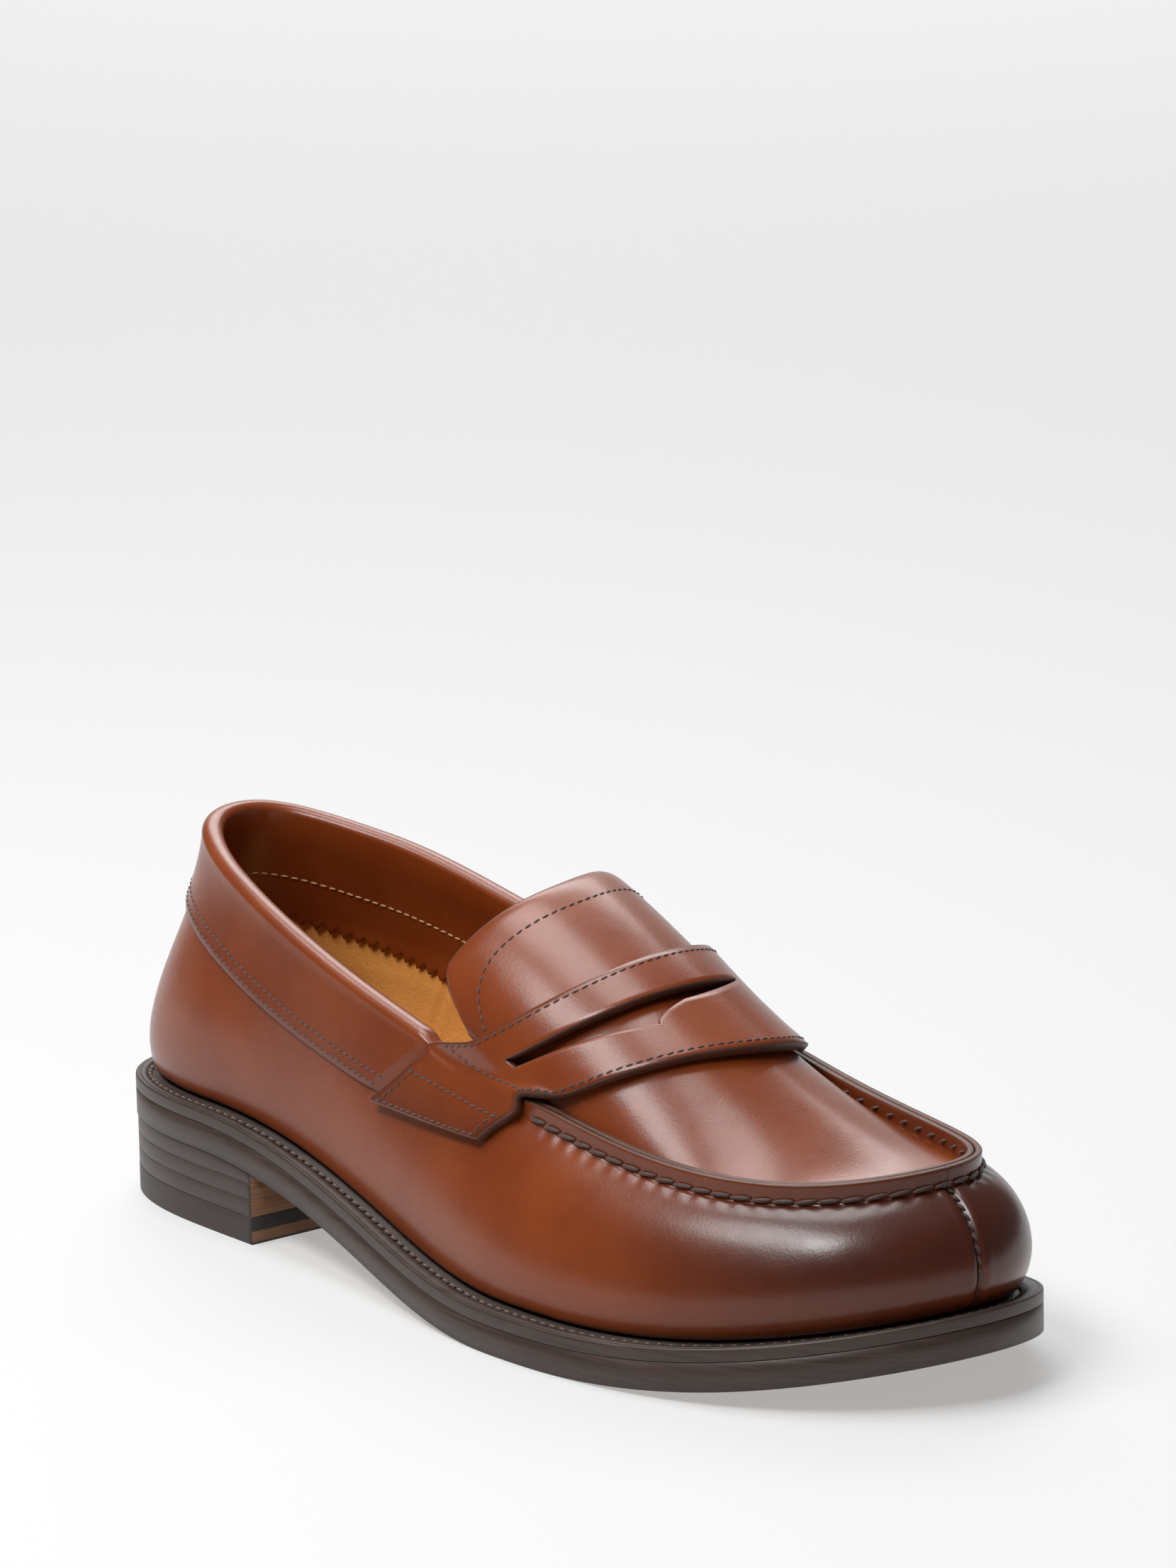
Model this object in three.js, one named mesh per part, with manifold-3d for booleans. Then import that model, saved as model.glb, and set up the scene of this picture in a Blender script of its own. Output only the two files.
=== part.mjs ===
// A penny loafer for the right foot, size EU 42, as its separate pieces.
// Millimetres. +X runs from heel to toe, +Y to the wearer's left (the inner side of the foot),
// +Z up. The origin is under the middle of the shoe, on the ground.
import * as THREE from 'three';
import { mergeVertices } from 'three/addons/utils/BufferGeometryUtils.js';
import Module from 'manifold-3d';

const wasm = await Module();
wasm.setup();

// ---- driving dimensions ----
const SHOE_LENGTH = 300;        // outsole, heel to toe
const SHOE_WIDTH = 107;         // outsole, across the ball of the foot
const UPPER_RISE = 66;          // back of the heel, from the welt to the top line
const HEEL_HEIGHT = 20;         // the stack below the outsole
const HEEL_BREAST = 75;         // front face of the heel, from the back of the shoe
const HEEL_LIFTS = 3;
const TOP_PIECE = 7;            // rubber heel piece on the ground
const TOE_SPRING = 13;          // lift of the toe above the ball
const OUTSOLE_THICKNESS = 6.9;
const WELT_THICKNESS = 3.3;
const WELT_TO_RIB = 10.5;       // how far the welt reaches in under the upper
const RIB_WIDTH = 2;
const INSOLE_THICKNESS = 3;
const SOCK_THICKNESS = 1.2;
const LEATHER = 1.8;            // upper leather
const LINING = 1;
const COUNTER = 1.3;            // heel counter and toe puff
const COLLAR_LEATHER = 1.2;
const COLLAR_BAND = 18;         // depth of the collar's outer leg
const COLLAR_FACING = 27;       // depth of its inner leg
const STRAP_THICKNESS = 2.6;
const STRAP_LIFT = 0.9;         // space between the strap and what is under it
const RIDGE_HEIGHT = 4.5;       // raised seam round the apron
const RIDGE_LEATHER = 1.6;
const SHANK_WIDTH = 14;
const SHANK_THICKNESS = 1.4;
const SHANK_ENDS = [52, 168];
const NAIL_RADIUS = 1;
const NAIL_HEAD_RADIUS = 1.9;
const NAIL_HEAD = 1;
const NAIL_SUNK = 1.5;
const NAIL_INTO_SOLE = 3;
const NAIL_PLACES = [[18, 0], [34, 16], [34, -16], [58, 17], [58, -17]];
const THREAD_RADIUS = 0.5;
const GAP = 0.3;                // clearance that glued and stitched pieces keep
const TRIM = 0.05;              // what a cut edge stands above the line it follows
const RIDGE_ROOT = 1.3;         // how far the raised seam's leathers reach below its foot
const TAB_STANDOFF = 0.5;       // space between the strap's tabs and the side panels
const RIDGE_CLEARANCE = 1.2;    // space between the strap and the top of the ridge it passes over
const RIDGE_BLEND = 2;          // how softly the strap comes down from the ridge to the apron
const COLLAR_RISE = 1.1;        // height of the collar's roll above the top line, inside
const SHARE_PER_DEPTH = 0.92;   // the wall leans, so its height is shorter than its depth

// ---- the last: sixteen stations round the shoe ----
// 0 is the back of the heel, 1 to 7 run along the outer side, 8 is the toe, 9 to 15 come back
// along the inner side. Each list is the control points of one closed, smooth curve.
const STATIONS = 16;
const TOE = 8;
const BASE_LENGTH = 300;
const BASE_WIDTH = 107;
const BASE_RISE = 66;
// where the upper meets the welt: x, y
const FEATHER = [
  [4.5, 0], [7, -22], [34, -34], [82, -34], [128, -40], [176, -51], [224, -50], [268, -36],
  [301, 4], [274, 38], [230, 46], [186, 43], [131, 29], [85, 28], [35, 32], [8, 22],
];
// top line at the back, apron seam at the front: x, y, height above the welt at the same x
const TOP_LINE = [
  [17, 0, 65.5], [24, -17, 63.5], [62, -29, 52], [104, -32, 46.5], [140, -33, 47],
  [172, -36, 43], [214, -36, 35.5], [264, -28, 29], [289, 6, 29], [268, 34, 30], [218, 36, 39.5],
  [172, 35, 50], [136, 32, 54.5], [96, 32, 52], [56, 29, 56], [22, 17, 63.5],
];
// fullness of the wall, heel (0) to toe (8): its bulge and rise near the welt and near the top
const BULGE_LOW = [8, 8, 5, 3, 2, 4, 6, 9, 9];
const RISE_LOW = [18, 18, 16, 14, 12, 12, 11, 10, 10];
const BULGE_TOP = [3, 3, 3, 3, 4, 7, 9, 9, 9];
const RISE_TOP = [22, 22, 20, 16, 12, 8, 5, 3, 3];
const WELT_SHOWS = [5.5, 5.5, 5.5, 6, 6.5, 6.5, 6.5, 6.5, 7];
// crown over the instep and apron: height, and how round (1) or flat-sided (2) its section is
const CROWN = [41, 41, 41, 41, 36, 33.6, 18.7, -1.6, 0.8];
const ROUNDNESS = [0.75, 0.75, 0.75, 0.75, 0.75, 0.96, 1.68, 2.05, 2.2];
// how far the crown leans to the inner side, per height
const CROWN_LEAN = [0.18, 0.18, 0.18, 0.18, 0.13, 0, -0.15, -0.03, 0];

// ---- small vector helpers ----
const vec = (x, y, z) => new THREE.Vector3(x, y, z);
const clamp01 = (t) => Math.min(1, Math.max(0, t));
const ramp = (t) => clamp01(t) ** 2 * (3 - 2 * clamp01(t));
const mix = (a, b, t) => a + (b - a) * t;
const steps = (from, to, count) =>
  Array.from({ length: count + 1 }, (_, i) => mix(from, to, i / count));
// The higher of two heights, rounded off where they cross.
const higher = (a, b, blend) => (a + b + Math.hypot(a - b, blend)) / 2;
// Rows of neighbouring layers lie at the same stations and heights, so their facets stay parallel.
const STATION_STEP = 0.25;
const WALL_HEIGHTS = [0.08, 0.24, 0.42, 0.6, 0.76, 0.9];
const stationsFrom = (from, to) => {
  const inner = steps(0, 24, 24 / STATION_STEP).filter((s) => s > from + 0.05 && s < to - 0.05);
  return [from, ...inner, to];
};

// A closed uniform cubic spline through control values, one per station.
function spline(controls, s) {
  const n = controls.length;
  const i = Math.floor(s);
  const u = s - i;
  const weights = [
    (1 - u) ** 3, 3 * u ** 3 - 6 * u ** 2 + 4, -3 * u ** 3 + 3 * u ** 2 + 3 * u + 1, u ** 3,
  ];
  return weights.reduce(
    (sum, w, k) => sum + (w * controls[(((i - 1 + k) % n) + n) % n]) / 6, 0);
}

const mirrored = (list) => [...list, ...list.slice(1, -1).reverse()];
const column = (table, k, scale = 1) => table.map((row) => row[k] * scale);

const alongScale = SHOE_LENGTH / BASE_LENGTH;
const acrossScale = SHOE_WIDTH / BASE_WIDTH;
const riseScale = UPPER_RISE / BASE_RISE;
const law = {
  footX: column(FEATHER, 0, alongScale),
  footY: column(FEATHER, 1, acrossScale),
  topX: column(TOP_LINE, 0, alongScale),
  topY: column(TOP_LINE, 1, acrossScale),
  topRise: column(TOP_LINE, 2, riseScale),
  bulgeLow: mirrored(BULGE_LOW),
  riseLow: mirrored(RISE_LOW),
  bulgeTop: mirrored(BULGE_TOP),
  riseTop: mirrored(RISE_TOP),
  weltShows: mirrored(WELT_SHOWS),
  crown: mirrored(CROWN),
  roundness: mirrored(ROUNDNESS),
  crownLean: mirrored(CROWN_LEAN),
};
const SOLE_EDGE = WELT_THICKNESS + GAP + OUTSOLE_THICKNESS;

// Height of the welt's top along the shoe: level heel, a drop through the waist, toe spring.
function weltTop(x) {
  const waistEnd = 0.617 * SHOE_LENGTH;
  const waistLength = 0.45 * SHOE_LENGTH;
  const springFrom = 0.683 * SHOE_LENGTH;
  const springLength = 0.317 * SHOE_LENGTH;
  return SOLE_EDGE + HEEL_HEIGHT * ramp((waistEnd - x) / waistLength)
    + TOE_SPRING * Math.max(0, (x - springFrom) / springLength) ** 2;
}

function outward(xs, ys, s) {
  const d = 0.01;
  const tx = spline(xs, s + d) - spline(xs, s - d);
  const ty = spline(ys, s + d) - spline(ys, s - d);
  return vec(ty, -tx, 0).normalize();
}

// A point of the plan outline: out is how far it lies outside the upper, up above the welt.
function outline(s, out, up) {
  const n = outward(law.footX, law.footY, s);
  const x = spline(law.footX, s) + n.x * out;
  return vec(x, spline(law.footY, s) + n.y * out, weltTop(x) + up);
}

function topPoint(s, inset = 0, up = 0) {
  const n = outward(law.topX, law.topY, s);
  const x = spline(law.topX, s);
  const y = spline(law.topY, s);
  return vec(x - n.x * inset, y - n.y * inset, weltTop(x) + spline(law.topRise, s) + up);
}

// The side wall: a cubic curve from the welt (h = 0) to the top line or apron seam (h = 1).
function wallPoint(s, h) {
  const n = outward(law.footX, law.footY, s);
  const foot = outline(s, 0, 0);
  const top = topPoint(s);
  const low = foot.clone().addScaledVector(n, spline(law.bulgeLow, s));
  low.z += spline(law.riseLow, s);
  const high = top.clone().addScaledVector(n, spline(law.bulgeTop, s));
  high.z -= spline(law.riseTop, s);
  return foot.multiplyScalar((1 - h) ** 3)
    .addScaledVector(low, 3 * (1 - h) ** 2 * h)
    .addScaledVector(high, 3 * (1 - h) * h ** 2)
    .addScaledVector(top, h ** 3);
}

function wallNormal(s, h) {
  const d = 0.01;
  const round = wallPoint(s + d, h).sub(wallPoint(s - d, h));
  const up = wallPoint(s, Math.min(1, h + d)).sub(wallPoint(s, Math.max(0, h - d)));
  return round.cross(up).normalize();
}

const wall = (s, h, out = 0) => wallPoint(s, h).addScaledVector(wallNormal(s, h), out);

// The crowned top of the foot between the two sides of the seam: s from the throat to the toe,
// v from the outer side (0) over the instep to the inner side (1).
function archPoint(s, v, inset) {
  const from = topPoint(s, inset);
  const to = topPoint(STATIONS - s, inset);
  const angle = Math.PI * v;
  const height = spline(law.crown, s);
  const p = from.lerp(to, (1 - Math.cos(angle)) / 2);
  p.y += spline(law.crownLean, s) * height * Math.sin(angle);
  p.z += height * Math.max(0, Math.sin(angle)) ** spline(law.roundness, s);
  return p;
}

function archNormal(s, v, inset) {
  const d = 0.01;
  const w = Math.min(1 - d, Math.max(d, v));
  const along = archPoint(Math.min(TOE, s + d), w, inset)
    .sub(archPoint(s - d, w, inset));
  const across = archPoint(s, w + d, inset).sub(archPoint(s, w - d, inset));
  const n = along.cross(across);
  return n.lengthSq() < 1e-12 ? vec(0, 0, 1) : n.normalize();
}

const arch = (s, v, up, inset) =>
  archPoint(s, v, inset).addScaledVector(archNormal(s, v, inset), up);

// Distance from the top line to the foot of the crown, and the raised seam's height.
const SEAM_INSET = RIDGE_LEATHER * 2 + GAP;
const fromEnd = (s) => Math.min(s, STATIONS - s);
const crownInset = (s) => SEAM_INSET * Math.max(0.2, clamp01((fromEnd(s) - 4.2) / 1.2));
const ridgeHeight = (s) => RIDGE_HEIGHT * ramp((fromEnd(s) - 4.3) / 1.1);

// ---- solids ----
// A sheet with thickness from two grids of points, outer and inner, rows of equal length.
// With ring set, the last row joins the first; with folded set, the last row's two halves meet.
function sheetSolid(outer, inner, ring = false, folded = false) {
  const rows = outer.length;
  const cols = outer[0].length;
  const points = [...outer.flat(), ...inner.flat()];
  const at = (side, i, j) => side * rows * cols + (i % rows) * cols + j;
  const faces = [];
  const quad = (a, b, c, d) => faces.push([a, b, c], [a, c, d]);
  const lastRow = ring ? rows : rows - 1;
  for (let i = 0; i < lastRow; i += 1) {
    for (let j = 0; j < cols - 1; j += 1) {
      quad(at(0, i, j), at(0, i + 1, j), at(0, i + 1, j + 1), at(0, i, j + 1));
      quad(at(1, i, j), at(1, i, j + 1), at(1, i + 1, j + 1), at(1, i + 1, j));
    }
    quad(at(0, i, 0), at(1, i, 0), at(1, i + 1, 0), at(0, i + 1, 0));
    quad(at(0, i, cols - 1), at(0, i + 1, cols - 1), at(1, i + 1, cols - 1), at(1, i, cols - 1));
  }
  if (!ring) {
    for (let j = 0; j < cols - 1; j += 1) {
      quad(at(0, 0, j), at(0, 0, j + 1), at(1, 0, j + 1), at(1, 0, j));
      const i = rows - 1;
      if (!folded) quad(at(0, i, j), at(1, i, j), at(1, i, j + 1), at(0, i, j + 1));
    }
  }
  return closedGeometry(points, faces);
}

// Welds equal points, drops faces that have no area, and turns the body's faces outwards.
function closedGeometry(points, faces) {
  let geometry = new THREE.BufferGeometry();
  geometry.setAttribute('position',
    new THREE.Float32BufferAttribute(points.flatMap((p) => [p.x, p.y, p.z]), 3));
  geometry.setIndex(faces.flat());
  geometry = mergeVertices(geometry, 1e-3);
  const index = geometry.getIndex().array;
  const kept = [];
  for (let k = 0; k < index.length; k += 3) {
    const [a, b, c] = [index[k], index[k + 1], index[k + 2]];
    if (a !== b && b !== c && c !== a) kept.push(a, b, c);
  }
  geometry.setIndex(kept);
  if (signedVolume(geometry) < 0) {
    for (let k = 0; k < kept.length; k += 3) [kept[k], kept[k + 1]] = [kept[k + 1], kept[k]];
    geometry.setIndex(kept);
  }
  geometry.computeVertexNormals();
  return geometry;
}

function signedVolume(geometry) {
  const position = geometry.getAttribute('position');
  const index = geometry.getIndex().array;
  const [a, b, c] = [vec(0, 0, 0), vec(0, 0, 0), vec(0, 0, 0)];
  let sum = 0;
  for (let k = 0; k < index.length; k += 3) {
    a.fromBufferAttribute(position, index[k]);
    b.fromBufferAttribute(position, index[k + 1]);
    c.fromBufferAttribute(position, index[k + 2]);
    sum += a.dot(b.cross(c));
  }
  return sum / 6;
}

// A flat-lying plate: rows run across the shoe between matching stations.
function plateSolid(outAt, low, high, cols = 3) {
  const grid = (up) => steps(0, TOE, 32).map((s) => {
    const from = outline(s, outAt(s), 0);
    const to = outline(STATIONS - s, outAt(s), 0);
    return steps(0, 1, cols).map((t) => {
      const p = from.clone().lerp(to, t);
      p.z = weltTop(p.x) + up;
      return p;
    });
  });
  return sheetSolid(grid(high), grid(low));
}

// A band that follows the whole outline, such as the welt.
const ring = steps(0, STATIONS, 64).slice(0, -1);
function bandSolid(outAt, innerAt, low, high) {
  const grid = (up) => ring.map((s) => [outline(s, outAt(s), up), outline(s, innerAt(s), up)]);
  return sheetSolid(grid(high), grid(low), true);
}

function toManifold(geometry) {
  const bare = geometry.clone();
  bare.deleteAttribute('normal');
  const merged = mergeVertices(bare, 1e-3);
  return new wasm.Manifold(new wasm.Mesh({
    numProp: 3,
    vertProperties: new Float32Array(merged.getAttribute('position').array),
    triVerts: new Uint32Array(merged.getIndex().array),
  }));
}

function toGeometry(manifold) {
  const mesh = manifold.getMesh();
  const geometry = new THREE.BufferGeometry();
  geometry.setAttribute('position', new THREE.BufferAttribute(mesh.vertProperties, 3));
  geometry.setIndex(new THREE.BufferAttribute(mesh.triVerts, 1));
  geometry.computeVertexNormals();
  return geometry;
}

const cutAll = (geometry, tools) =>
  toGeometry(tools.reduce((body, tool) => body.subtract(toManifold(tool)), toManifold(geometry)));

// ---- upper ----
const TURN_IN = 0.5 - WELT_TO_RIB;   // where the panels end under the insole
// A side panel: turned in under the insole at the bottom, standing up in the seam's ridge.
function sidePanel(from, to) {
  const outer = (s) => {
    const up = vec(0, 0, ridgeHeight(s) + TRIM);
    return [
      outline(s, TURN_IN, GAP),
      outline(s, -1, GAP),
      ...WALL_HEIGHTS.map((h) => wall(s, h)),
      topPoint(s),
      topPoint(s).add(up),
    ];
  };
  const inner = (s) => {
    const flatness = clamp01(wallNormal(s, 1).z);
    return [
      outline(s, TURN_IN, GAP + LEATHER),
      outline(s, -LEATHER - 1, GAP + LEATHER),
      ...WALL_HEIGHTS.map((h) => wall(s, h, -LEATHER)),
      topPoint(s, RIDGE_LEATHER, -RIDGE_ROOT * flatness),
      topPoint(s, RIDGE_LEATHER, ridgeHeight(s) + TRIM),
    ];
  };
  const rows = stationsFrom(from, to);
  return sheetSolid(rows.map(outer), rows.map(inner));
}

const strapRear = (v) => {
  const q = 2 * Math.abs(v - 0.5);
  return 5.23 - 0.86 * q ** 2 - 0.28 * q ** 14;
};
const strapFront = (v) => {
  const crest = 0.56;
  return v < crest
    ? 5.97 - 0.86 * ((crest - v) / crest) ** 1.8
    : 5.97 - 0.59 * ((v - crest) / (1 - crest)) ** 1.8;
};
const tongueEnd = (v) => {
  const q = 2 * Math.abs(v - 0.5);
  const top = 4.3 - 0.55 * ((q ** 2 + 0.03) ** 0.65 - 0.03 ** 0.65);
  return top + 0.5 * clamp01((q - 0.68) / 0.2) ** 2.6;
};

// Rows of the front part of the upper, and where each of them crosses the crown.
const VAMP_START = 4.25;
const VAMP_ROWS = stationsFrom(VAMP_START, TOE);
const crownStation = (v, s) =>
  mix(strapRear(v) + BUTT, TOE, (s - VAMP_START) / (TOE - VAMP_START));

const APRON_EDGE = 0.05;            // first crossing of the crown, as a share of its width
// The apron: a crowned plug whose edge turns up against the side panels.
function apron() {
  const crossings = steps(APRON_EDGE, 1 - APRON_EDGE, 12);
  const build = (insetTop, insetFoot, footUp, surfaceUp) => VAMP_ROWS.map((s) => [
    topPoint(s, insetTop, ridgeHeight(s) + TRIM),
    topPoint(s, insetFoot, footUp),
    ...crossings.map((v) => arch(crownStation(v, s), v, surfaceUp, SEAM_INSET)),
    topPoint(STATIONS - s, insetFoot, footUp),
    topPoint(STATIONS - s, insetTop, ridgeHeight(s) + TRIM),
  ]);
  return sheetSolid(
    build(SEAM_INSET, SEAM_INSET + 2 * TRIM, 2 * GAP, 0),
    build(RIDGE_LEATHER + GAP, RIDGE_LEATHER + GAP, 2 * TRIM - RIDGE_ROOT, -LEATHER), false, true);
}

// The tongue and its lining: from the strap's back edge to the tongue's own rounded end.
const TONGUE_SIDE = 0.06;           // side edge of the tongue, as a share of the crown's width
const TONGUE_MIDDLE = 4.6;          // station half way along the tongue
const BUTT = 0.04;                  // stations between the tongue or apron and the strap's line
function tongueLayer(up, thickness, setBack) {
  const edge = TONGUE_SIDE + setBack;
  const crossings = steps(edge, 1 - edge, 16);
  const inset = crownInset(TONGUE_MIDDLE);
  const build = (level) => steps(0, 1, 5).map((t) => crossings.map((v) =>
    arch(mix(tongueEnd(v) + setBack, strapRear(v) - BUTT, t), v, level, inset)));
  return sheetSolid(build(up), build(up - thickness));
}

// The saddle strap, from tab to tab over the ridge and the instep, with its slot.
const TAB_LEAN = [0.36, 0.24];      // stations the tab's back and front edges lean backwards
const TAB_DROP = [0.42, 0.26];      // how far down the wall they reach, as a share of h
function strapRow(side, up) {
  // side: 0 for the back edge of the strap, 1 for its front edge
  const at = (v) => mix(strapRear(v), strapFront(v), side);
  const tab = (medial) => {
    const s0 = at(medial ? 1 : 0);
    return [1, 0.66, 0.33].map((w) => {
      const s = s0 - mix(TAB_LEAN[0], TAB_LEAN[1], side) * w;
      const h = 1 - mix(TAB_DROP[0], TAB_DROP[1], side) * w;
      return wall(medial ? STATIONS - s : s, h, TAB_STANDOFF + up);
    });
  };
  const shoulder = (medial) => {
    const s0 = medial ? STATIONS - at(1) : at(0);
    return [
      topPoint(s0, -0.8 - up, 0.5 * ridgeHeight(s0)),
      topPoint(s0, -0.2 - 0.7 * up, ridgeHeight(s0) + 1 + 0.5 * up),
    ];
  };
  const over = steps(0.06, 0.94, 18).map((v) => {
    const s = at(v);
    const p = arch(s, v, STRAP_LIFT + up, crownInset(s));
    const ridge = topPoint(v < 0.5 ? s : STATIONS - s, 0, ridgeHeight(s));
    return p.setZ(higher(p.z, ridge.z + RIDGE_CLEARANCE + up, RIDGE_BLEND));
  });
  return [...tab(false), ...shoulder(false), ...over, ...shoulder(true).reverse(),
    ...tab(true).reverse()];
}

function strap() {
  const shares = steps(0, 1, 4);
  const body = sheetSolid(shares.map((r) => strapRow(r, STRAP_THICKNESS)),
    shares.map((r) => strapRow(r, 0)));
  return cutAll(body, [slotTool()]);
}

// The slot: a thick patch through the strap between its two lips.
const SLOT_ENDS = [0.09, 0.71];
const SLOT_LIPS = [0.36, 0.52];     // rear and front lip, as shares of the strap's width
const SLOT_NOTCH = 0.4;
const SLOT_NOTCH_HALF = 0.09;
const SLOT_NOTCH_DEPTH = 0.14;
function slotTool() {
  const places = steps(SLOT_ENDS[0], SLOT_ENDS[1], 16);
  const lip = (v, share, up) => {
    const s = mix(strapRear(v), strapFront(v), share);
    return arch(s, v, up, crownInset(s));
  };
  const frontLip = (v) => SLOT_LIPS[1]
    + SLOT_NOTCH_DEPTH * Math.max(0, 1 - Math.abs(v - SLOT_NOTCH) / SLOT_NOTCH_HALF);
  const build = (up) => places.map((v) => [lip(v, SLOT_LIPS[0], up), lip(v, frontLip(v), up)]);
  return sheetSolid(build(STRAP_LIFT + STRAP_THICKNESS + 3), build(-2));
}

// The collar: a folded band over the top line, long inside and short outside.
const COLLAR_END = 4;
function collar() {
  const depthToH = (s, depth) => 1 - depth / (wallPoint(s, 1).z - wallPoint(s, 0).z) * SHARE_PER_DEPTH;
  const halfGap = (LEATHER + GAP + LINING) / 2;
  const roll = [0, 45, 90, 135, 180].map((a) => THREE.MathUtils.degToRad(a));
  const rows = stationsFrom(STATIONS - COLLAR_END, COLLAR_END + STATIONS);
  const build = (thick) => rows.map((station) => {
    const lateral = station > STATIONS;
    const s = station % STATIONS;
    const outerH = depthToH(s, COLLAR_BAND);
    const innerH = Math.max(0.45, depthToH(s, COLLAR_FACING));
    const nearEnd = ramp((fromEnd(s) - 3.4) / 0.6);
    const lean = (lateral ? -1 : 1) * TAB_LEAN[0] * nearEnd;
    const outerLeg = [0, 0.33, 0.66].map((t) => {
      const h = mix(outerH, 1, t);
      const down = clamp01((1 - h) / TAB_DROP[0]);
      return wall(s + lean * down, h, GAP + (thick ? COLLAR_LEATHER : 0));
    });
    const half = halfGap + GAP + (thick ? COLLAR_LEATHER : 0);
    const rise = COLLAR_RISE + (thick ? COLLAR_LEATHER : 0);
    const fold = roll.map((a) =>
      topPoint(s, halfGap - half * Math.cos(a), 0.2 + rise * Math.sin(a)));
    const past = LINING + 1.5 * GAP + (thick ? COLLAR_LEATHER : 0);
    const innerLeg = [0.9, 0.76, 0.6, Math.min(0.55, innerH)].map((h) =>
      wall(s, h, -liningInset(s, h) - past));
    return [...outerLeg, ...fold, ...innerLeg];
  });
  return sheetSolid(build(true), build(false));
}

// Linings stand clear of the panels, and further in where the counter lies between.
function liningInset(s, h) {
  const withCounter = 1 - ramp((fromEnd(s) - 2.6) / 0.8);
  const below = clamp01((0.6 - h) / (0.6 - 0.42));
  return LEATHER + GAP + (COUNTER + GAP) * withCounter * below;
}

function quarterLining(from, to) {
  const heights = [...WALL_HEIGHTS, 0.985];
  const build = (extra) => stationsFrom(from, to).map((s) =>
    heights.map((h) => wall(s, h, -liningInset(s, h) - extra)));
  return sheetSolid(build(0), build(LINING));
}

// Front lining: up both walls and across under the apron, closed round the toe.
function vampLining() {
  const heights = WALL_HEIGHTS.slice(0, -1);
  const crossings = steps(0.05, 0.95, 12);
  const depth = LEATHER + GAP + COUNTER + GAP;
  const build = (extra) => VAMP_ROWS.map((s) => [
    ...heights.map((h) => wall(s, h, -depth - extra)),
    ...crossings.map((v) =>
      arch(crownStation(v, s), v, -LEATHER - GAP * 3 - extra, SEAM_INSET + 2 * GAP)),
    ...heights.map((h) => wall(STATIONS - s, h, -depth - extra)).reverse(),
  ]);
  return sheetSolid(build(0), build(LINING), false, true);
}

// Stiffener between panel and lining, thinned towards its top: heel counter or toe puff.
function stiffener(from, to, heights) {
  const depthAt = (h) => LEATHER + GAP + COUNTER * (1 - 0.5 * ramp((h - 0.3) / 0.5));
  const grid = (depth) => stationsFrom(from, to).map((s) => heights.map((h) => wall(s, h, -depth(h))));
  return sheetSolid(grid(() => LEATHER + GAP), grid(depthAt));
}

// ---- bottom ----
const HEEL_TOP = -SOLE_EDGE - GAP;
const weltOut = (s) => spline(law.weltShows, s);

const soleOut = (s) => weltOut(s) - GAP;

// Outline of the heel at plan level, closed by the straight breast.
function heelLayer(lowAt, highAt) {
  const breastStation = (towards) => {
    let [near, far] = [0, 4];
    for (let k = 0; k < 30; k += 1) {
      const s = (near + far) / 2;
      const x = outline(towards > 0 ? s : STATIONS - s, soleOut(s), 0).x;
      if (x < HEEL_BREAST) near = s; else far = s;
    }
    return near;
  };
  const [lateralEnd, medialEnd] = [breastStation(1), breastStation(-1)];
  const rows = steps(0, 1, 12);
  const grid = (height) => rows.map((t) => {
    const from = outline(lateralEnd * t, soleOut(lateralEnd * t), 0);
    const medial = medialEnd * t;
    const to = outline((STATIONS - medial) % STATIONS, soleOut(medial), 0);
    return steps(0, 1, 4).map((u) => {
      const p = from.clone().lerp(to, u);
      p.z = height(p.x);
      return p;
    });
  });
  return sheetSolid(grid(highAt), grid(lowAt));
}

const soleBottom = (x) => weltTop(x) + HEEL_TOP;
const LIFT_ZONE = HEEL_HEIGHT - TOP_PIECE - GAP;
const liftPitch = LIFT_ZONE / HEEL_LIFTS;
const liftLow = (k) => TOP_PIECE + GAP + k * liftPitch;

function heelLift(k) {
  const low = () => liftLow(k);
  const high = (x) => (k === HEEL_LIFTS - 1
    ? soleBottom(x)
    : Math.min(liftLow(k + 1) - GAP, soleBottom(x) - GAP - 1));
  return heelLayer(low, high);
}

function nail([x, y], clearance) {
  const radius = NAIL_RADIUS + clearance;
  const headRadius = NAIL_HEAD_RADIUS + clearance;
  const bottom = clearance > 0 ? -1 : NAIL_SUNK;
  const headTop = NAIL_SUNK + NAIL_HEAD + clearance;
  const tip = HEEL_HEIGHT + NAIL_INTO_SOLE + clearance;
  const profile = [[0, bottom], [headRadius, bottom], [headRadius, headTop], [radius, headTop],
    [radius, tip - 1], [0, tip]].map(([r, z]) => new THREE.Vector2(r, z));
  const geometry = new THREE.LatheGeometry(profile, 8);
  geometry.rotateX(Math.PI / 2);
  geometry.translate(x * alongScale, y * acrossScale, 0);
  const index = [...geometry.getIndex().array];
  const position = geometry.getAttribute('position');
  const points = Array.from({ length: position.count }, (_, i) =>
    vec(position.getX(i), position.getY(i), position.getZ(i)));
  const faces = [];
  for (let k = 0; k < index.length; k += 3) faces.push(index.slice(k, k + 3));
  return closedGeometry(points, faces);
}

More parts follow.
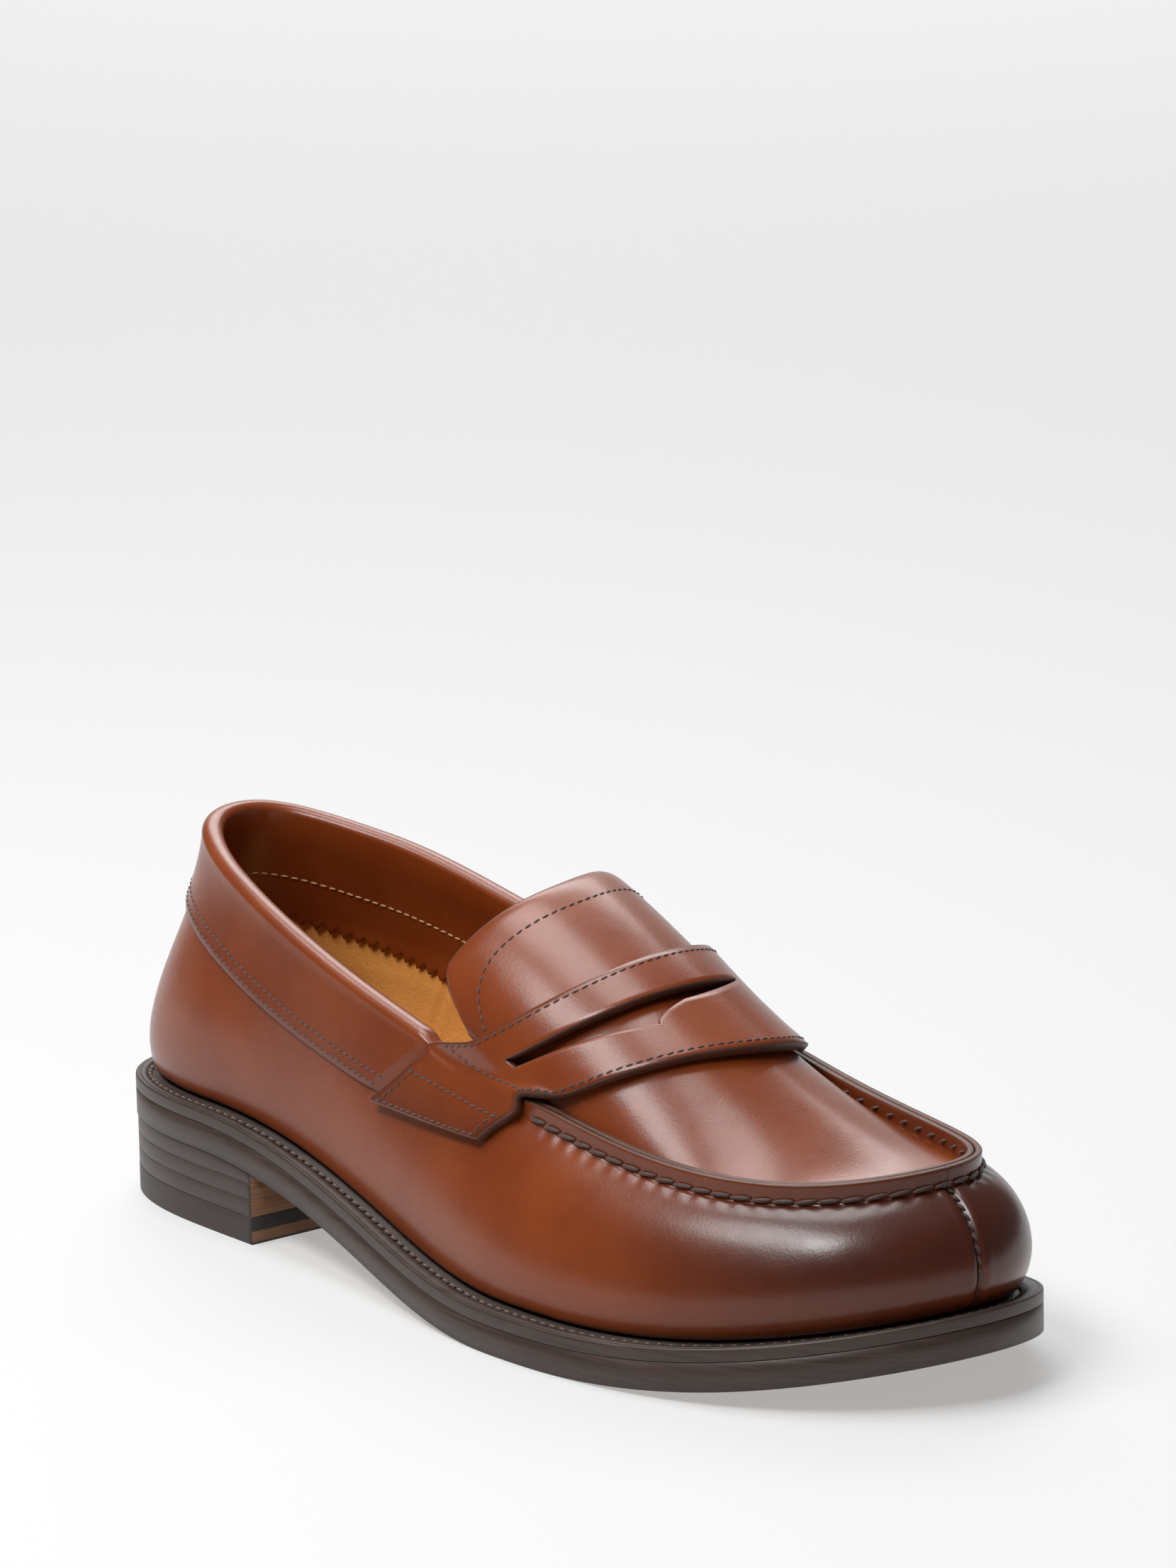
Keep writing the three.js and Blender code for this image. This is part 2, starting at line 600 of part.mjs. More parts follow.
// Steel shank in the waist, between the insole and the cork.
const RIB_LOW = -WELT_THICKNESS;
const BED_TOP = GAP + LEATHER;
function shank(clearance) {
  const half = SHANK_WIDTH / 2 + clearance;
  const ends = [SHANK_ENDS[0] - clearance, SHANK_ENDS[1] + clearance];
  const middle = (x) => mix(-1, -2, x / SHOE_LENGTH);
  const low = BED_TOP - SHANK_THICKNESS - clearance;
  const high = clearance > 0 ? BED_TOP + 2 : BED_TOP;
  const grid = (up) => steps(ends[0], ends[1], 14).map((x) =>
    [-half, half].map((y) => vec(x, middle(x) + y, weltTop(x) + up)));
  return sheetSolid(grid(high), grid(low));
}

// A thread that lies along a closed or open path.
function threadSolid(path, closed) {
  const sides = 4;
  const tube = path.map((p, i) => {
    const before = path[(i - 1 + path.length) % path.length];
    const after = path[(i + 1) % path.length];
    const along = (closed || (i > 0 && i < path.length - 1))
      ? after.clone().sub(before)
      : (i === 0 ? after.clone().sub(p) : p.clone().sub(before));
    const across = along.clone().cross(vec(0, 0, 1)).normalize();
    const up = across.clone().cross(along).normalize();
    return Array.from({ length: sides }, (_, k) => {
      const a = (2 * Math.PI * k) / sides;
      return p.clone().addScaledVector(across, THREAD_RADIUS * Math.cos(a))
        .addScaledVector(up, THREAD_RADIUS * Math.sin(a));
    });
  });
  const half = sides / 2;
  const upper = tube.map((loop) => loop.slice(0, half + 1));
  const lower = tube.map((loop) => [loop[0], ...loop.slice(half).reverse()]);
  return sheetSolid(upper, lower.map((row) => row.slice(0, half + 1)), closed);
}

// ---- assembly ----
const colours = {
  upper: [0x7d412d, 0.38, 0], lining: [0xb98a52, 0.85, 0], sock: [0xb58a3c, 0.6, 0],
  board: [0xa98760, 0.8, 0], cork: [0xa9784a, 0.95, 0], steel: [0x8d9196, 0.35, 1],
  soleEdge: [0x3a302c, 0.5, 0], lift: [0x4a342a, 0.55, 0], rubber: [0x2b2725, 0.8, 0],
  brass: [0xb08d4f, 0.35, 1], thread: [0x3b241c, 0.8, 0], fibre: [0x8a6a4a, 0.85, 0],
};

const loafer = new THREE.Group();
const shoe = new THREE.Group();
loafer.add(shoe);
function add(name, geometry, [color, roughness, metalness]) {
  const mesh = new THREE.Mesh(geometry,
    new THREE.MeshStandardMaterial({ color, roughness, metalness }));
  mesh.name = name;
  shoe.add(mesh);
}

const LINING_SET_BACK = 0.015;      // tongue lining behind the tongue's edge, as a share
const JOIN = 0.012;                 // half the gap where two panels meet, in stations
add('side_panel_lateral', sidePanel(JOIN, TOE - JOIN), colours.upper);
add('side_panel_medial', sidePanel(TOE + JOIN, STATIONS - JOIN), colours.upper);
add('apron', apron(), colours.upper);
add('tongue', tongueLayer(0, LEATHER, 0), colours.upper);
add('tongue_lining', tongueLayer(-LEATHER - GAP, LINING, LINING_SET_BACK), colours.lining);
add('saddle_strap', strap(), colours.upper);
add('collar', collar(), colours.upper);
add('quarter_lining_lateral', quarterLining(JOIN, COLLAR_END), colours.lining);
add('quarter_lining_medial', quarterLining(STATIONS - COLLAR_END, STATIONS - JOIN),
  colours.lining);
add('vamp_lining', vampLining(), colours.lining);
const COUNTER_REACH = 2.5;          // stations that each stiffener runs to either side
const PUFF_REACH = 1.5;
add('heel_counter', stiffener(STATIONS - COUNTER_REACH, STATIONS + COUNTER_REACH,
  WALL_HEIGHTS.slice(0, 3)), colours.fibre);
add('toe_puff', stiffener(TOE - PUFF_REACH, TOE + PUFF_REACH, WALL_HEIGHTS.slice(1, 5)),
  colours.fibre);

const INSOLE_INSET = LEATHER + COUNTER + LINING + 4 * GAP + 2 * TRIM;
const insoleLow = BED_TOP + GAP;
const insoleHigh = insoleLow + INSOLE_THICKNESS;
add('insole', plateSolid(() => -INSOLE_INSET, insoleLow, insoleHigh), colours.board);
add('sock_liner',
  plateSolid(() => -INSOLE_INSET - GAP, insoleHigh + GAP, insoleHigh + GAP + SOCK_THICKNESS),
  colours.sock);
const ribOut = WELT_TO_RIB + GAP;
add('insole_rib',
  bandSolid(() => -ribOut, () => -ribOut - RIB_WIDTH, RIB_LOW, BED_TOP), colours.board);
const cork = plateSolid(() => -ribOut - RIB_WIDTH - GAP, RIB_LOW, BED_TOP);
add('cork_filler', cutAll(cork, [shank(GAP)]), colours.cork);
add('shank', shank(0), colours.steel);
add('welt', bandSolid(weltOut, () => -WELT_TO_RIB + GAP, -WELT_THICKNESS, 0), colours.soleEdge);

const nailHoles = NAIL_PLACES.map((place) => nail(place, GAP));
const outsole = plateSolid(soleOut, -SOLE_EDGE, -WELT_THICKNESS - GAP, 4);
add('outsole', cutAll(outsole, nailHoles), colours.soleEdge);
for (let k = 0; k < HEEL_LIFTS; k += 1) {
  add(`heel_lift_${k + 1}`, cutAll(heelLift(k), nailHoles), colours.lift);
}
add('top_piece', cutAll(heelLayer(() => 0, () => TOP_PIECE), nailHoles), colours.rubber);
NAIL_PLACES.forEach((place, k) => add(`heel_nail_${k + 1}`, nail(place, 0), colours.brass));

// The apron seam's thread lies in the angle outside the ridge, the welt's on the ledge.
const seamStations = stationsFrom(5.5, STATIONS - 5.5);
add('apron_thread', threadSolid(seamStations.map((s) =>
  topPoint(s, -THREAD_RADIUS - GAP, THREAD_RADIUS + 4 * GAP)), false), colours.thread);
add('welt_thread', threadSolid(ring.map((s) =>
  outline(s, weltOut(s) * 0.5, THREAD_RADIUS + GAP)), true), colours.thread);

// The origin goes under the middle of the shoe.
const box = new THREE.Box3().setFromObject(shoe);
const centre = box.getCenter(vec(0, 0, 0));
shoe.position.set(-centre.x, -centre.y, -box.min.z);
loafer.updateMatrixWorld(true);

export default loafer;
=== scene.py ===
# %% [markdown]
# # A penny loafer in cognac calf
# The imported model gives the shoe's frame: every piece below is made in metres, in the same place
# as the solid it stands for. The leather is laid over the same last as the solids, only finer.

# %% Load the frame
import math

import bpy
import numpy as np
from mathutils import Matrix, Vector


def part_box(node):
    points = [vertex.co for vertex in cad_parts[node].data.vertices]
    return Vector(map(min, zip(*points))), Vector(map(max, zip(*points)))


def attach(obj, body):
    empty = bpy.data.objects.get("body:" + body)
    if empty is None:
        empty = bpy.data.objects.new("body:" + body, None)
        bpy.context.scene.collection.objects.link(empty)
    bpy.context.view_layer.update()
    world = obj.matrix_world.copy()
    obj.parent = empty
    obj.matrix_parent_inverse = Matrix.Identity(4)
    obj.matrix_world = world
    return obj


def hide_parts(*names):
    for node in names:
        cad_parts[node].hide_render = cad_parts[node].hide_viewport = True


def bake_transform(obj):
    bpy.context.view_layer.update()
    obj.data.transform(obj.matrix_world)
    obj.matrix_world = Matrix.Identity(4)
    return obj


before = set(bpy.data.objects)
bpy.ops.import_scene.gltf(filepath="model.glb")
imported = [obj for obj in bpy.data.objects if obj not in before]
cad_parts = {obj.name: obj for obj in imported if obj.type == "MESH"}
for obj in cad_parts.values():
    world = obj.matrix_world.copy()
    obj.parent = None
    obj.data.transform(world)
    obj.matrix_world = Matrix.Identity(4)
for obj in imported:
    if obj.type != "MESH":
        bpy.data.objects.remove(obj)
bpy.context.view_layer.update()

MM = 0.001

# %% [markdown]
# The camera is a long lens, nearly two metres away and a little above the toe, so that the shoe
# keeps its true proportions. A long lens is set by its focal length on a 36 mm wide sensor.
# The camera looks at a point over the shoe, which leaves room above it.

# %% Camera
LENS = 222.47                    # mm, on a sensor 36 mm wide
CAMERA_AZIMUTH = math.radians(50.339)
CAMERA_ELEVATION = math.radians(12.582)
CAMERA_ROLL = math.radians(-1.192)
CAMERA_DISTANCE = 1747.15 * MM
LOOK_AT = Vector((6.95, 6.94, 123.25)) * MM

camera_data = bpy.data.cameras.new("camera")
camera_data.lens = LENS
camera_data.sensor_fit = "HORIZONTAL"
camera = bpy.data.objects.new("camera", camera_data)
bpy.context.scene.collection.objects.link(camera)
back = Vector((math.sin(CAMERA_AZIMUTH) * math.cos(CAMERA_ELEVATION),
               -math.cos(CAMERA_AZIMUTH) * math.cos(CAMERA_ELEVATION),
               math.sin(CAMERA_ELEVATION)))
side = Vector((0, 0, 1)).cross(back).normalized()
up = back.cross(side)
turn = Matrix((side, up, back)).transposed() @ Matrix.Rotation(CAMERA_ROLL, 3, "Z")
camera.matrix_world = Matrix.Translation(LOOK_AT + back * CAMERA_DISTANCE) @ turn.to_4x4()
bpy.context.scene.camera = camera
print("camera at", [round(v, 3) for v in camera.matrix_world.translation])

# %% [markdown]
# A product studio has a pale sweep under and behind the shoe and large soft lights. The lights
# are flat panels, and the size of each sets how soft the gloss it makes on the leather is.

# %% Floor and lights
def plain_material(name, colour, roughness, glow):
    """Paper that passes on some light of its own, as a lit sweep does."""
    material = bpy.data.materials.new(name)
    material.use_nodes = True
    shader = material.node_tree.nodes["Principled BSDF"]
    shader.inputs["Base Color"].default_value = (*colour, 1)
    shader.inputs["Roughness"].default_value = roughness
    shader.inputs["Specular IOR Level"].default_value = 0.1
    shader.inputs["Emission Color"].default_value = (*colour, 1)
    shader.inputs["Emission Strength"].default_value = glow
    return material


def sweep(half_width=1.9, front=-2.2, depth=4.0, height=3.0, steps=24):
    """A floor that curves up into a wall behind the shoe."""
    rear = Vector((-back.x, -back.y, 0)).normalized()
    across = Vector((-rear.y, rear.x, 0))
    profile = [(front, 0.0), (depth - 1.0, 0.0)]
    profile += [(depth - 1.0 + math.sin(a), 1.0 - math.cos(a))
                for a in np.linspace(0, math.pi / 2, steps)[1:]]
    profile.append((depth, height))
    points = [rear * d + across * w + Vector((0, 0, z))
              for d, z in profile for w in (-half_width, half_width)]
    faces = [(2 * i, 2 * i + 1, 2 * i + 3, 2 * i + 2) for i in range(len(profile) - 1)]
    mesh = bpy.data.meshes.new("studio_sweep")
    mesh.from_pydata(points, [], faces)
    mesh.polygons.foreach_set("use_smooth", [True] * len(faces))
    floor = bpy.data.objects.new("studio_sweep", mesh)
    bpy.context.scene.collection.objects.link(floor)
    mesh.materials.append(plain_material("pale_paper", (0.36, 0.361, 0.36), 0.8, 1.06))


def panel_light(name, place, size, power, aim=(0.03, 0, 0.04)):
    data = bpy.data.lights.new(name, "AREA")
    data.shape = "RECTANGLE"
    data.size, data.size_y = size
    data.energy = power
    light = bpy.data.objects.new(name, data)
    bpy.context.scene.collection.objects.link(light)
    light.location = place
    light.rotation_euler = (Vector(aim) - Vector(place)).to_track_quat("-Z", "Y").to_euler()


sweep()
world = bpy.data.worlds.new("studio")
bpy.context.scene.world = world
world.use_nodes = True
sky = world.node_tree.nodes["Background"].inputs
sky["Color"].default_value = (1, 1, 1, 1)
sky["Strength"].default_value = 0.12
panel_light("overhead", (-0.1, 0.1, 2.4), (2.6, 2.6), 6)
panel_light("far_sweep", (-2.5, 2.2, 2.6), (2.4, 2.4), 98, aim=(-2.5, 2.2, 0))
panel_light("key", (-0.10, -0.85, 1.33), (1.2, 0.46), 19)
panel_light("top", (-0.42, -0.02, 1.5), (0.6, 0.9), 11.5)
panel_light("toe", (0.30, -0.88, 1.2), (0.36, 0.28), 4)
bpy.context.scene.view_settings.view_transform = "Standard"

# %% [markdown]
# ## The last
# A shoe is built round a last, a solid foot form. Here the last is sixteen stations on a closed
# smooth curve, 0 at the back of the heel and 8 at the toe. One curve is the feather line, where
# the upper meets the welt. The other is the top line, which becomes the apron seam at the front.

# %% The last's curves, in millimetres
FEATHER = np.array([
    [4.5, 0], [7, -22], [34, -34], [82, -34], [128, -40], [176, -51], [224, -50], [268, -36],
    [301, 4], [274, 38], [230, 46], [186, 43], [131, 29], [85, 28], [35, 32], [8, 22]])
TOP_LINE = np.array([
    [17, 0, 65.5], [24, -17, 63.5], [62, -29, 52], [104, -32, 46.5], [140, -33, 47],
    [172, -36, 43], [214, -36, 35.5], [264, -28, 29], [289, 6, 29], [268, 34, 30], [218, 36, 39.5],
    [172, 35, 50], [136, 32, 54.5], [96, 32, 52], [56, 29, 56], [22, 17, 63.5]])
STATIONS, TOE = 16, 8


def mirrored(values):
    return np.array(list(values) + list(values[1:-1])[::-1], float)


BULGE_LOW = mirrored([8, 8, 5, 3, 2, 4, 6, 9, 9])
RISE_LOW = mirrored([18, 18, 16, 14, 12, 12, 11, 10, 10])
BULGE_TOP = mirrored([3, 3, 3, 3, 4, 7, 9, 9, 9])
RISE_TOP = mirrored([22, 22, 20, 16, 12, 8, 5, 3, 3])
WELT_SHOWS = mirrored([5.5, 5.5, 5.5, 6, 6.5, 6.5, 6.5, 6.5, 7])
CROWN = mirrored([41, 41, 41, 41, 36, 33.6, 18.7, -1.6, 0.8])
ROUNDNESS = mirrored([0.75, 0.75, 0.75, 0.75, 0.75, 0.96, 1.68, 2.05, 2.2])
CROWN_LEAN = mirrored([0.18, 0.18, 0.18, 0.18, 0.13, 0, -0.15, -0.03, 0])
HEEL_HEIGHT, TOE_SPRING = 20, 13
WELT_THICKNESS, OUTSOLE_THICKNESS, TOP_PIECE, HEEL_BREAST = 3.3, 6.9, 7, 75
INSOLE_THICKNESS, SOCK_THICKNESS = 3, 1.2
LEATHER, LINING, COUNTER, GAP = 1.8, 1.0, 1.3, 0.3
SOLE_EDGE = WELT_THICKNESS + GAP + OUTSOLE_THICKNESS


def spline(values, s):
    """A closed uniform cubic spline, with one control value to a station."""
    s = np.asarray(s, float)
    i = np.floor(s).astype(int)
    u = s - i
    weights = ((1 - u) ** 3, 3 * u ** 3 - 6 * u ** 2 + 4,
               -3 * u ** 3 + 3 * u ** 2 + 3 * u + 1, u ** 3)
    return sum(w * values[(i - 1 + k) % STATIONS] for k, w in enumerate(weights)) / 6


def ramp(t):
    t = np.clip(t, 0, 1)
    return t * t * (3 - 2 * t)


def mix(a, b, t):
    return a + (b - a) * t


WAIST_FRONT, WAIST_LENGTH = 185.1, 135      # the drop from the heel's level to the ball
SPRING_START, SPRING_LENGTH = 204.9, 95.1   # the rise towards the toe


def welt_top(x):
    """Height of the welt's top: level heel, a drop through the waist, then the toe spring."""
    return (SOLE_EDGE + HEEL_HEIGHT * ramp((WAIST_FRONT - x) / WAIST_LENGTH)
            + TOE_SPRING * np.maximum(0, (x - SPRING_START) / SPRING_LENGTH) ** 2)


# %% [markdown]
# Three surfaces follow from the curves. The outline runs round the sole, the wall climbs from
# the feather line to the top line, and the arch crosses the instep from one side to the other.
# Any piece of leather is one of these, offset by its own depth.

# %% Outline, wall and arch
def unit(v):
    return v / np.maximum(np.linalg.norm(v, axis=-1, keepdims=True), 1e-9)


def outward(table, s):
    d = 0.01
    tx = spline(table[:, 0], s + d) - spline(table[:, 0], s - d)
    ty = spline(table[:, 1], s + d) - spline(table[:, 1], s - d)
    return unit(np.stack([ty, -tx, np.zeros_like(tx)], -1))


def outline(s, out=0, up=0):
    s, out, up = np.broadcast_arrays(np.asarray(s, float), out, up)
    n = outward(FEATHER, s)
    x = spline(FEATHER[:, 0], s) + n[..., 0] * out
    y = spline(FEATHER[:, 1], s) + n[..., 1] * out
    return np.stack([x, y, welt_top(x) + up], -1)


def top_point(s, inset=0, up=0):
    s, inset, up = np.broadcast_arrays(np.asarray(s, float), inset, up)
    n = outward(TOP_LINE, s)
    x, y = spline(TOP_LINE[:, 0], s), spline(TOP_LINE[:, 1], s)
    z = welt_top(x) + spline(TOP_LINE[:, 2], s) + up
    return np.stack([x - n[..., 0] * inset, y - n[..., 1] * inset, z], -1)


def wall_point(s, h):
    s, h = np.broadcast_arrays(np.asarray(s, float), h)
    n = outward(FEATHER, s)
    foot, top = outline(s), top_point(s)
    low = foot + n * spline(BULGE_LOW, s)[..., None]
    low[..., 2] += spline(RISE_LOW, s)
    high = top + n * spline(BULGE_TOP, s)[..., None]
    high[..., 2] -= spline(RISE_TOP, s)
    h = h[..., None]
    return (foot * (1 - h) ** 3 + low * 3 * (1 - h) ** 2 * h
            + high * 3 * (1 - h) * h ** 2 + top * h ** 3)


def wall_normal(s, h):
    d = 0.01
    s, h = np.broadcast_arrays(np.asarray(s, float), h)
    along = wall_point(s + d, h) - wall_point(s - d, h)
    rise = wall_point(s, np.minimum(1, h + d)) - wall_point(s, np.maximum(0, h - d))
    return unit(np.cross(along, rise))


def wall(s, h, out=0):
    s, h, out = np.broadcast_arrays(np.asarray(s, float), h, out)
    return wall_point(s, h) + wall_normal(s, h) * out[..., None]


def arch_point(s, v, inset):
    s, v, inset = np.broadcast_arrays(np.asarray(s, float), v, inset)
    start, end = top_point(s, inset), top_point(STATIONS - s, inset)
    height = spline(CROWN, s)
    p = mix(start, end, ((1 - np.cos(np.pi * v)) / 2)[..., None])
    lift = np.maximum(0, np.sin(np.pi * v))
    p[..., 1] += spline(CROWN_LEAN, s) * height * np.sin(np.pi * v)
    p[..., 2] += height * lift ** spline(ROUNDNESS, s)
    return p


def arch_normal(s, v, inset):
    d = 0.01
    s, v, inset = np.broadcast_arrays(np.asarray(s, float), v, inset)
    w = np.clip(v, d, 1 - d)
    along = arch_point(np.minimum(TOE, s + d), w, inset) - arch_point(s - d, w, inset)
    across = arch_point(s, w + d, inset) - arch_point(s, w - d, inset)
    n = np.cross(along, across)
    flat = np.linalg.norm(n, axis=-1) < 1e-6
    n[flat] = (0, 0, 1)
    return unit(n)


def arch(s, v, up, inset):
    s, v, up, inset = np.broadcast_arrays(np.asarray(s, float), v, up, inset)
    return arch_point(s, v, inset) + arch_normal(s, v, inset) * up[..., None]


def from_end(s):
    return np.minimum(s, STATIONS - s)


welt_ring = outline(np.arange(0, STATIONS, 0.25), spline(WELT_SHOWS, np.arange(0, STATIONS, 0.25)))
welt_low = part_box("welt")[0]
SHIFT = np.array([welt_low.x / MM - welt_ring[:, 0].min(),
                  welt_low.y / MM - welt_ring[:, 1].min(), 0])
print("last to frame, mm:", SHIFT.round(2))

# %% [markdown]
# ## Making a sheet of leather
# A sheet has an outer and an inner face and a cut edge. The two faces are grids of points. The
# edge is found as the border of the grid, and gets a few rows of its own so that it is a little
# round, as a cut edge is after it has been sanded and burnished. The tone of a point, 0 to 1,
# is how much darker the leather is there: dark cream on the burnished toe, and painted shade at
# the foot of the raised seam.

# %% Sheet maker
def grid_quads(rows, cols, keep=None):
    i, j = np.meshgrid(np.arange(rows - 1), np.arange(cols - 1), indexing="ij")
    a, b = i * cols + j, (i + 1) * cols + j
    quads = np.stack([a, b, b + 1, a + 1], -1)
    return quads[keep] if keep is not None else quads.reshape(-1, 4)


def weld(outer, quads):
    """Numbers points that lie together as one, and drops the sides that vanish."""
    _, first, number = np.unique(np.round(outer * 500).astype(int), axis=0,
                                 return_index=True, return_inverse=True)
    number = first[number.reshape(-1)]
    faces = []
    for quad in number[quads]:
        face = [int(k) for n, k in enumerate(quad) if k != quad[n - 1]]
        if len(set(face)) == len(face) and len(face) > 2:
            faces.append(face)
    return faces


def border_edges(faces):
    edges = {(f[n - 1], f[n]) for f in faces for n in range(len(f))}
    return [e for e in edges if (e[1], e[0]) not in edges]


def link_mesh(name, points, faces, materials, indices, tones=None):
    mesh = bpy.data.meshes.new(name)
    mesh.from_pydata(((points + SHIFT) * MM).tolist(), [], faces)
    for material in materials:
        mesh.materials.append(material)
    mesh.polygons.foreach_set("material_index", indices)
    mesh.polygons.foreach_set("use_smooth", [True] * len(faces))
    if tones is not None:
        tone = mesh.attributes.new("tone", "FLOAT", "POINT")
        tone.data.foreach_set("value", np.asarray(tones, np.float32))
    mesh.update()
    piece = bpy.data.objects.new(name, mesh)
    bpy.context.scene.collection.objects.link(piece)
    return piece


def volume(points, faces):
    total = 0.0
    for f in faces:
        a = points[f[0]]
        for n in range(1, len(f) - 1):
            total += np.dot(a, np.cross(points[f[n]], points[f[n + 1]]))
    return total


RIM_ROWS = 3


def sheet(name, outer, inner, materials, keep=None, tone=None, bulge=0.4, square=0.6):
    """A closed sheet between two grids, with a rounded edge along every border."""
    rows, cols = outer.shape[:2]
    quads = grid_quads(rows, cols, keep)
    outer, inner = outer.reshape(-1, 3), inner.reshape(-1, 3)
    faces = weld(outer, quads)
    depth = unit(outer - inner)
    facing = sum(float(np.dot(np.cross(outer[f[1]] - outer[f[0]], outer[f[2]] - outer[f[0]]),
                              depth[f[0]])) for f in faces[::7])
    if facing < 0:
        faces = [f[::-1] for f in faces]
    border = border_edges(faces)
    out = np.zeros_like(outer)
    for a, b in border:
        step = np.cross(unit(outer[b] - outer[a]), depth[a])
        out[a] += step
        out[b] += step
    rim = sorted({k for edge in border for k in edge})
    order = {k: n for n, k in enumerate(rim)}
    push = unit(out[rim])
    middle, half = (outer[rim] + inner[rim]) / 2, (outer[rim] - inner[rim]) / 2
    angles = np.pi * np.arange(1, RIM_ROWS + 1) / (RIM_ROWS + 1)
    rings = [middle + half * np.sign(np.cos(a)) * abs(np.cos(a)) ** square
             + push * bulge * np.sin(a) ** square for a in angles]
    count = len(outer)
    points = np.concatenate([outer, inner, *rings])
    tones = np.zeros(count) if tone is None else np.broadcast_to(tone, (rows, cols)).reshape(-1)
    tones = np.concatenate([tones, tones, *[tones[rim]] * RIM_ROWS])
    made = list(faces) + [[k + count for k in f[::-1]] for f in faces]
    indices = [0] * len(faces) + [len(materials) - 1 if len(materials) == 3 else 0] * len(faces)
    for a, b in border:
        chain = lambda k: ([k] + [2 * count + n * len(rim) + order[k] for n in range(RIM_ROWS)]
                           + [k + count])
        one, two = chain(a), chain(b)
        for n in range(RIM_ROWS + 1):
            made.append([one[n], one[n + 1], two[n + 1], two[n]])
            indices.append(min(1, len(materials) - 1))
    used = sorted({k for f in made for k in f})
    renumber = np.zeros(len(points), int)
    renumber[used] = np.arange(len(used))
    made = [[int(renumber[k]) for k in f] for f in made]
    points, tones = points[used], tones[used]
    if volume(points, made) < 0:
        made = [f[::-1] for f in made]
    piece = link_mesh(name, points, made, materials, indices, tones)
    print(f"{name}: {sum(len(f) - 2 for f in made)} triangles, {len(border)} rim edges")
    return piece


# %% [markdown]
# ## Shader maths
# A finish is a set of numbers that vary over a surface. The class below lets them be written
# as sums and products, and each expression adds the nodes that work it out.

# %% Signals and finishes
class Signal:
    """A number that varies over a surface."""

    def __init__(self, finish, socket):
        self.finish, self.socket = finish, socket

    def math(self, operation, *values):
        return self.finish.node("Math", {"operation": operation}, dict(enumerate(values)))

    def __add__(self, other):
        return self.math("ADD", self, other)

    def __sub__(self, other):
        return self.math("SUBTRACT", self, other)

    def __mul__(self, other):
        return self.math("MULTIPLY", self, other)

    def limited(self):
        return self.finish.node("Clamp", {}, {"Value": self})


class Finish:
    """A material on a Principled shader, built node by node."""

    def __init__(self, name, **constants):
        self.material = bpy.data.materials.new(name)
        self.material.use_nodes = True
        self.tree = self.material.node_tree
        self.shader = self.tree.nodes["Principled BSDF"]
        for socket, value in constants.items():
            self.shader.inputs[socket.replace("_", " ")].default_value = value

    def node(self, kind, settings=None, sockets=None, output=0):
        made = self.tree.nodes.new("ShaderNode" + kind)
        for key, value in (settings or {}).items():
            if key == "stops":
                ramp_stops = made.color_ramp.elements
                while len(ramp_stops) < len(value):
                    ramp_stops.new(0.5)
                for stop, (place, colour) in zip(ramp_stops, value):
                    stop.position, stop.color = place, (*colour, 1)
            else:
                setattr(made, key, value)
        for key, value in (sockets or {}).items():
            if isinstance(value, Signal):
                self.tree.links.new(value.socket, made.inputs[key])
            else:
                made.inputs[key].default_value = value
        return Signal(self, made.outputs[output])

    def place(self, stretch=(1, 1, 1)):
        here = self.node("TexCoord", output="Object")
        return self.node("Mapping", {}, {"Vector": here, "Scale": stretch})

    def noise(self, scale, detail=2.0, stretch=(1, 1, 1)):
        return self.node("TexNoise", {}, {"Vector": self.place(stretch), "Scale": scale,
                                          "Detail": detail})

    def cells(self, scale):
        return self.node("TexVoronoi", {}, {"Vector": self.place(), "Scale": scale}, "Distance")

    def tone(self):
        return self.node("Attribute", {"attribute_name": "tone"}, output="Fac")

    def blend(self, factor, a, b):
        sockets = {0: factor, 6: a if isinstance(a, Signal) else (*a, 1),
                   7: b if isinstance(b, Signal) else (*b, 1)}
        return self.node("Mix", {"data_type": "RGBA"}, sockets, 2)

    def bump(self, height, strength, distance, under=None):
        sockets = {"Height": height, "Strength": strength, "Distance": distance * MM}
        if under is not None:
            sockets["Normal"] = under
        return self.node("Bump", {}, sockets)

    def feed(self, **signals):
        for socket, signal in signals.items():
            self.tree.links.new(signal.socket, self.shader.inputs[socket.replace("_", " ")])
        return self.material


# %% [markdown]
# ## Calf leather
# Polished calf has a fine grain, a dye that is never quite even, and a wax coat. The dye is
# mottled on the scale of a fingertip. The tone darkens it, most on the toe where cream was rubbed
# in, and as painted shade at the foot of the raised seam. The grain is a net of tiny cells,
# under half a millimetre deep.

# %% Calf
COGNAC = (0.165, 0.029, 0.0050)
COGNAC_LIGHT = (0.225, 0.048, 0.0085)
# The darkest tone: cream burnished into the toe, and painted shade at the foot of the raised seam.
BURNISH_AND_SHADE = (0.036, 0.0075, 0.0045)


def calf(name, light=COGNAC_LIGHT, base=COGNAC, dark=BURNISH_AND_SHADE, roughness=0.29, coat=0.15):
    finish = Finish(name, Coat_Weight=coat, Coat_Roughness=0.18, Specular_IOR_Level=0.38)
    mottle = (finish.noise(38, 3.0) - 0.35) * 1.8
    dye = finish.blend(mottle.limited(), base, light)
    streak = finish.noise(140, 2.0, (0.35, 1, 1)) * 0.10 - 0.05
    tone = (finish.tone() + streak).limited()
    colour = finish.blend(tone, dye, dark)
    grain = finish.cells(1500) * 0.6 + finish.noise(900, 3.0) * 0.7
    waves = finish.noise(85, 1.0)
    normal = finish.bump(grain, 0.12, 0.20, finish.bump(waves, 0.12, 0.9))
    gloss = finish.noise(260, 2.0) * 0.10 + (roughness - 0.05)
    return finish.feed(Base_Color=colour, Roughness=gloss, Normal=normal)


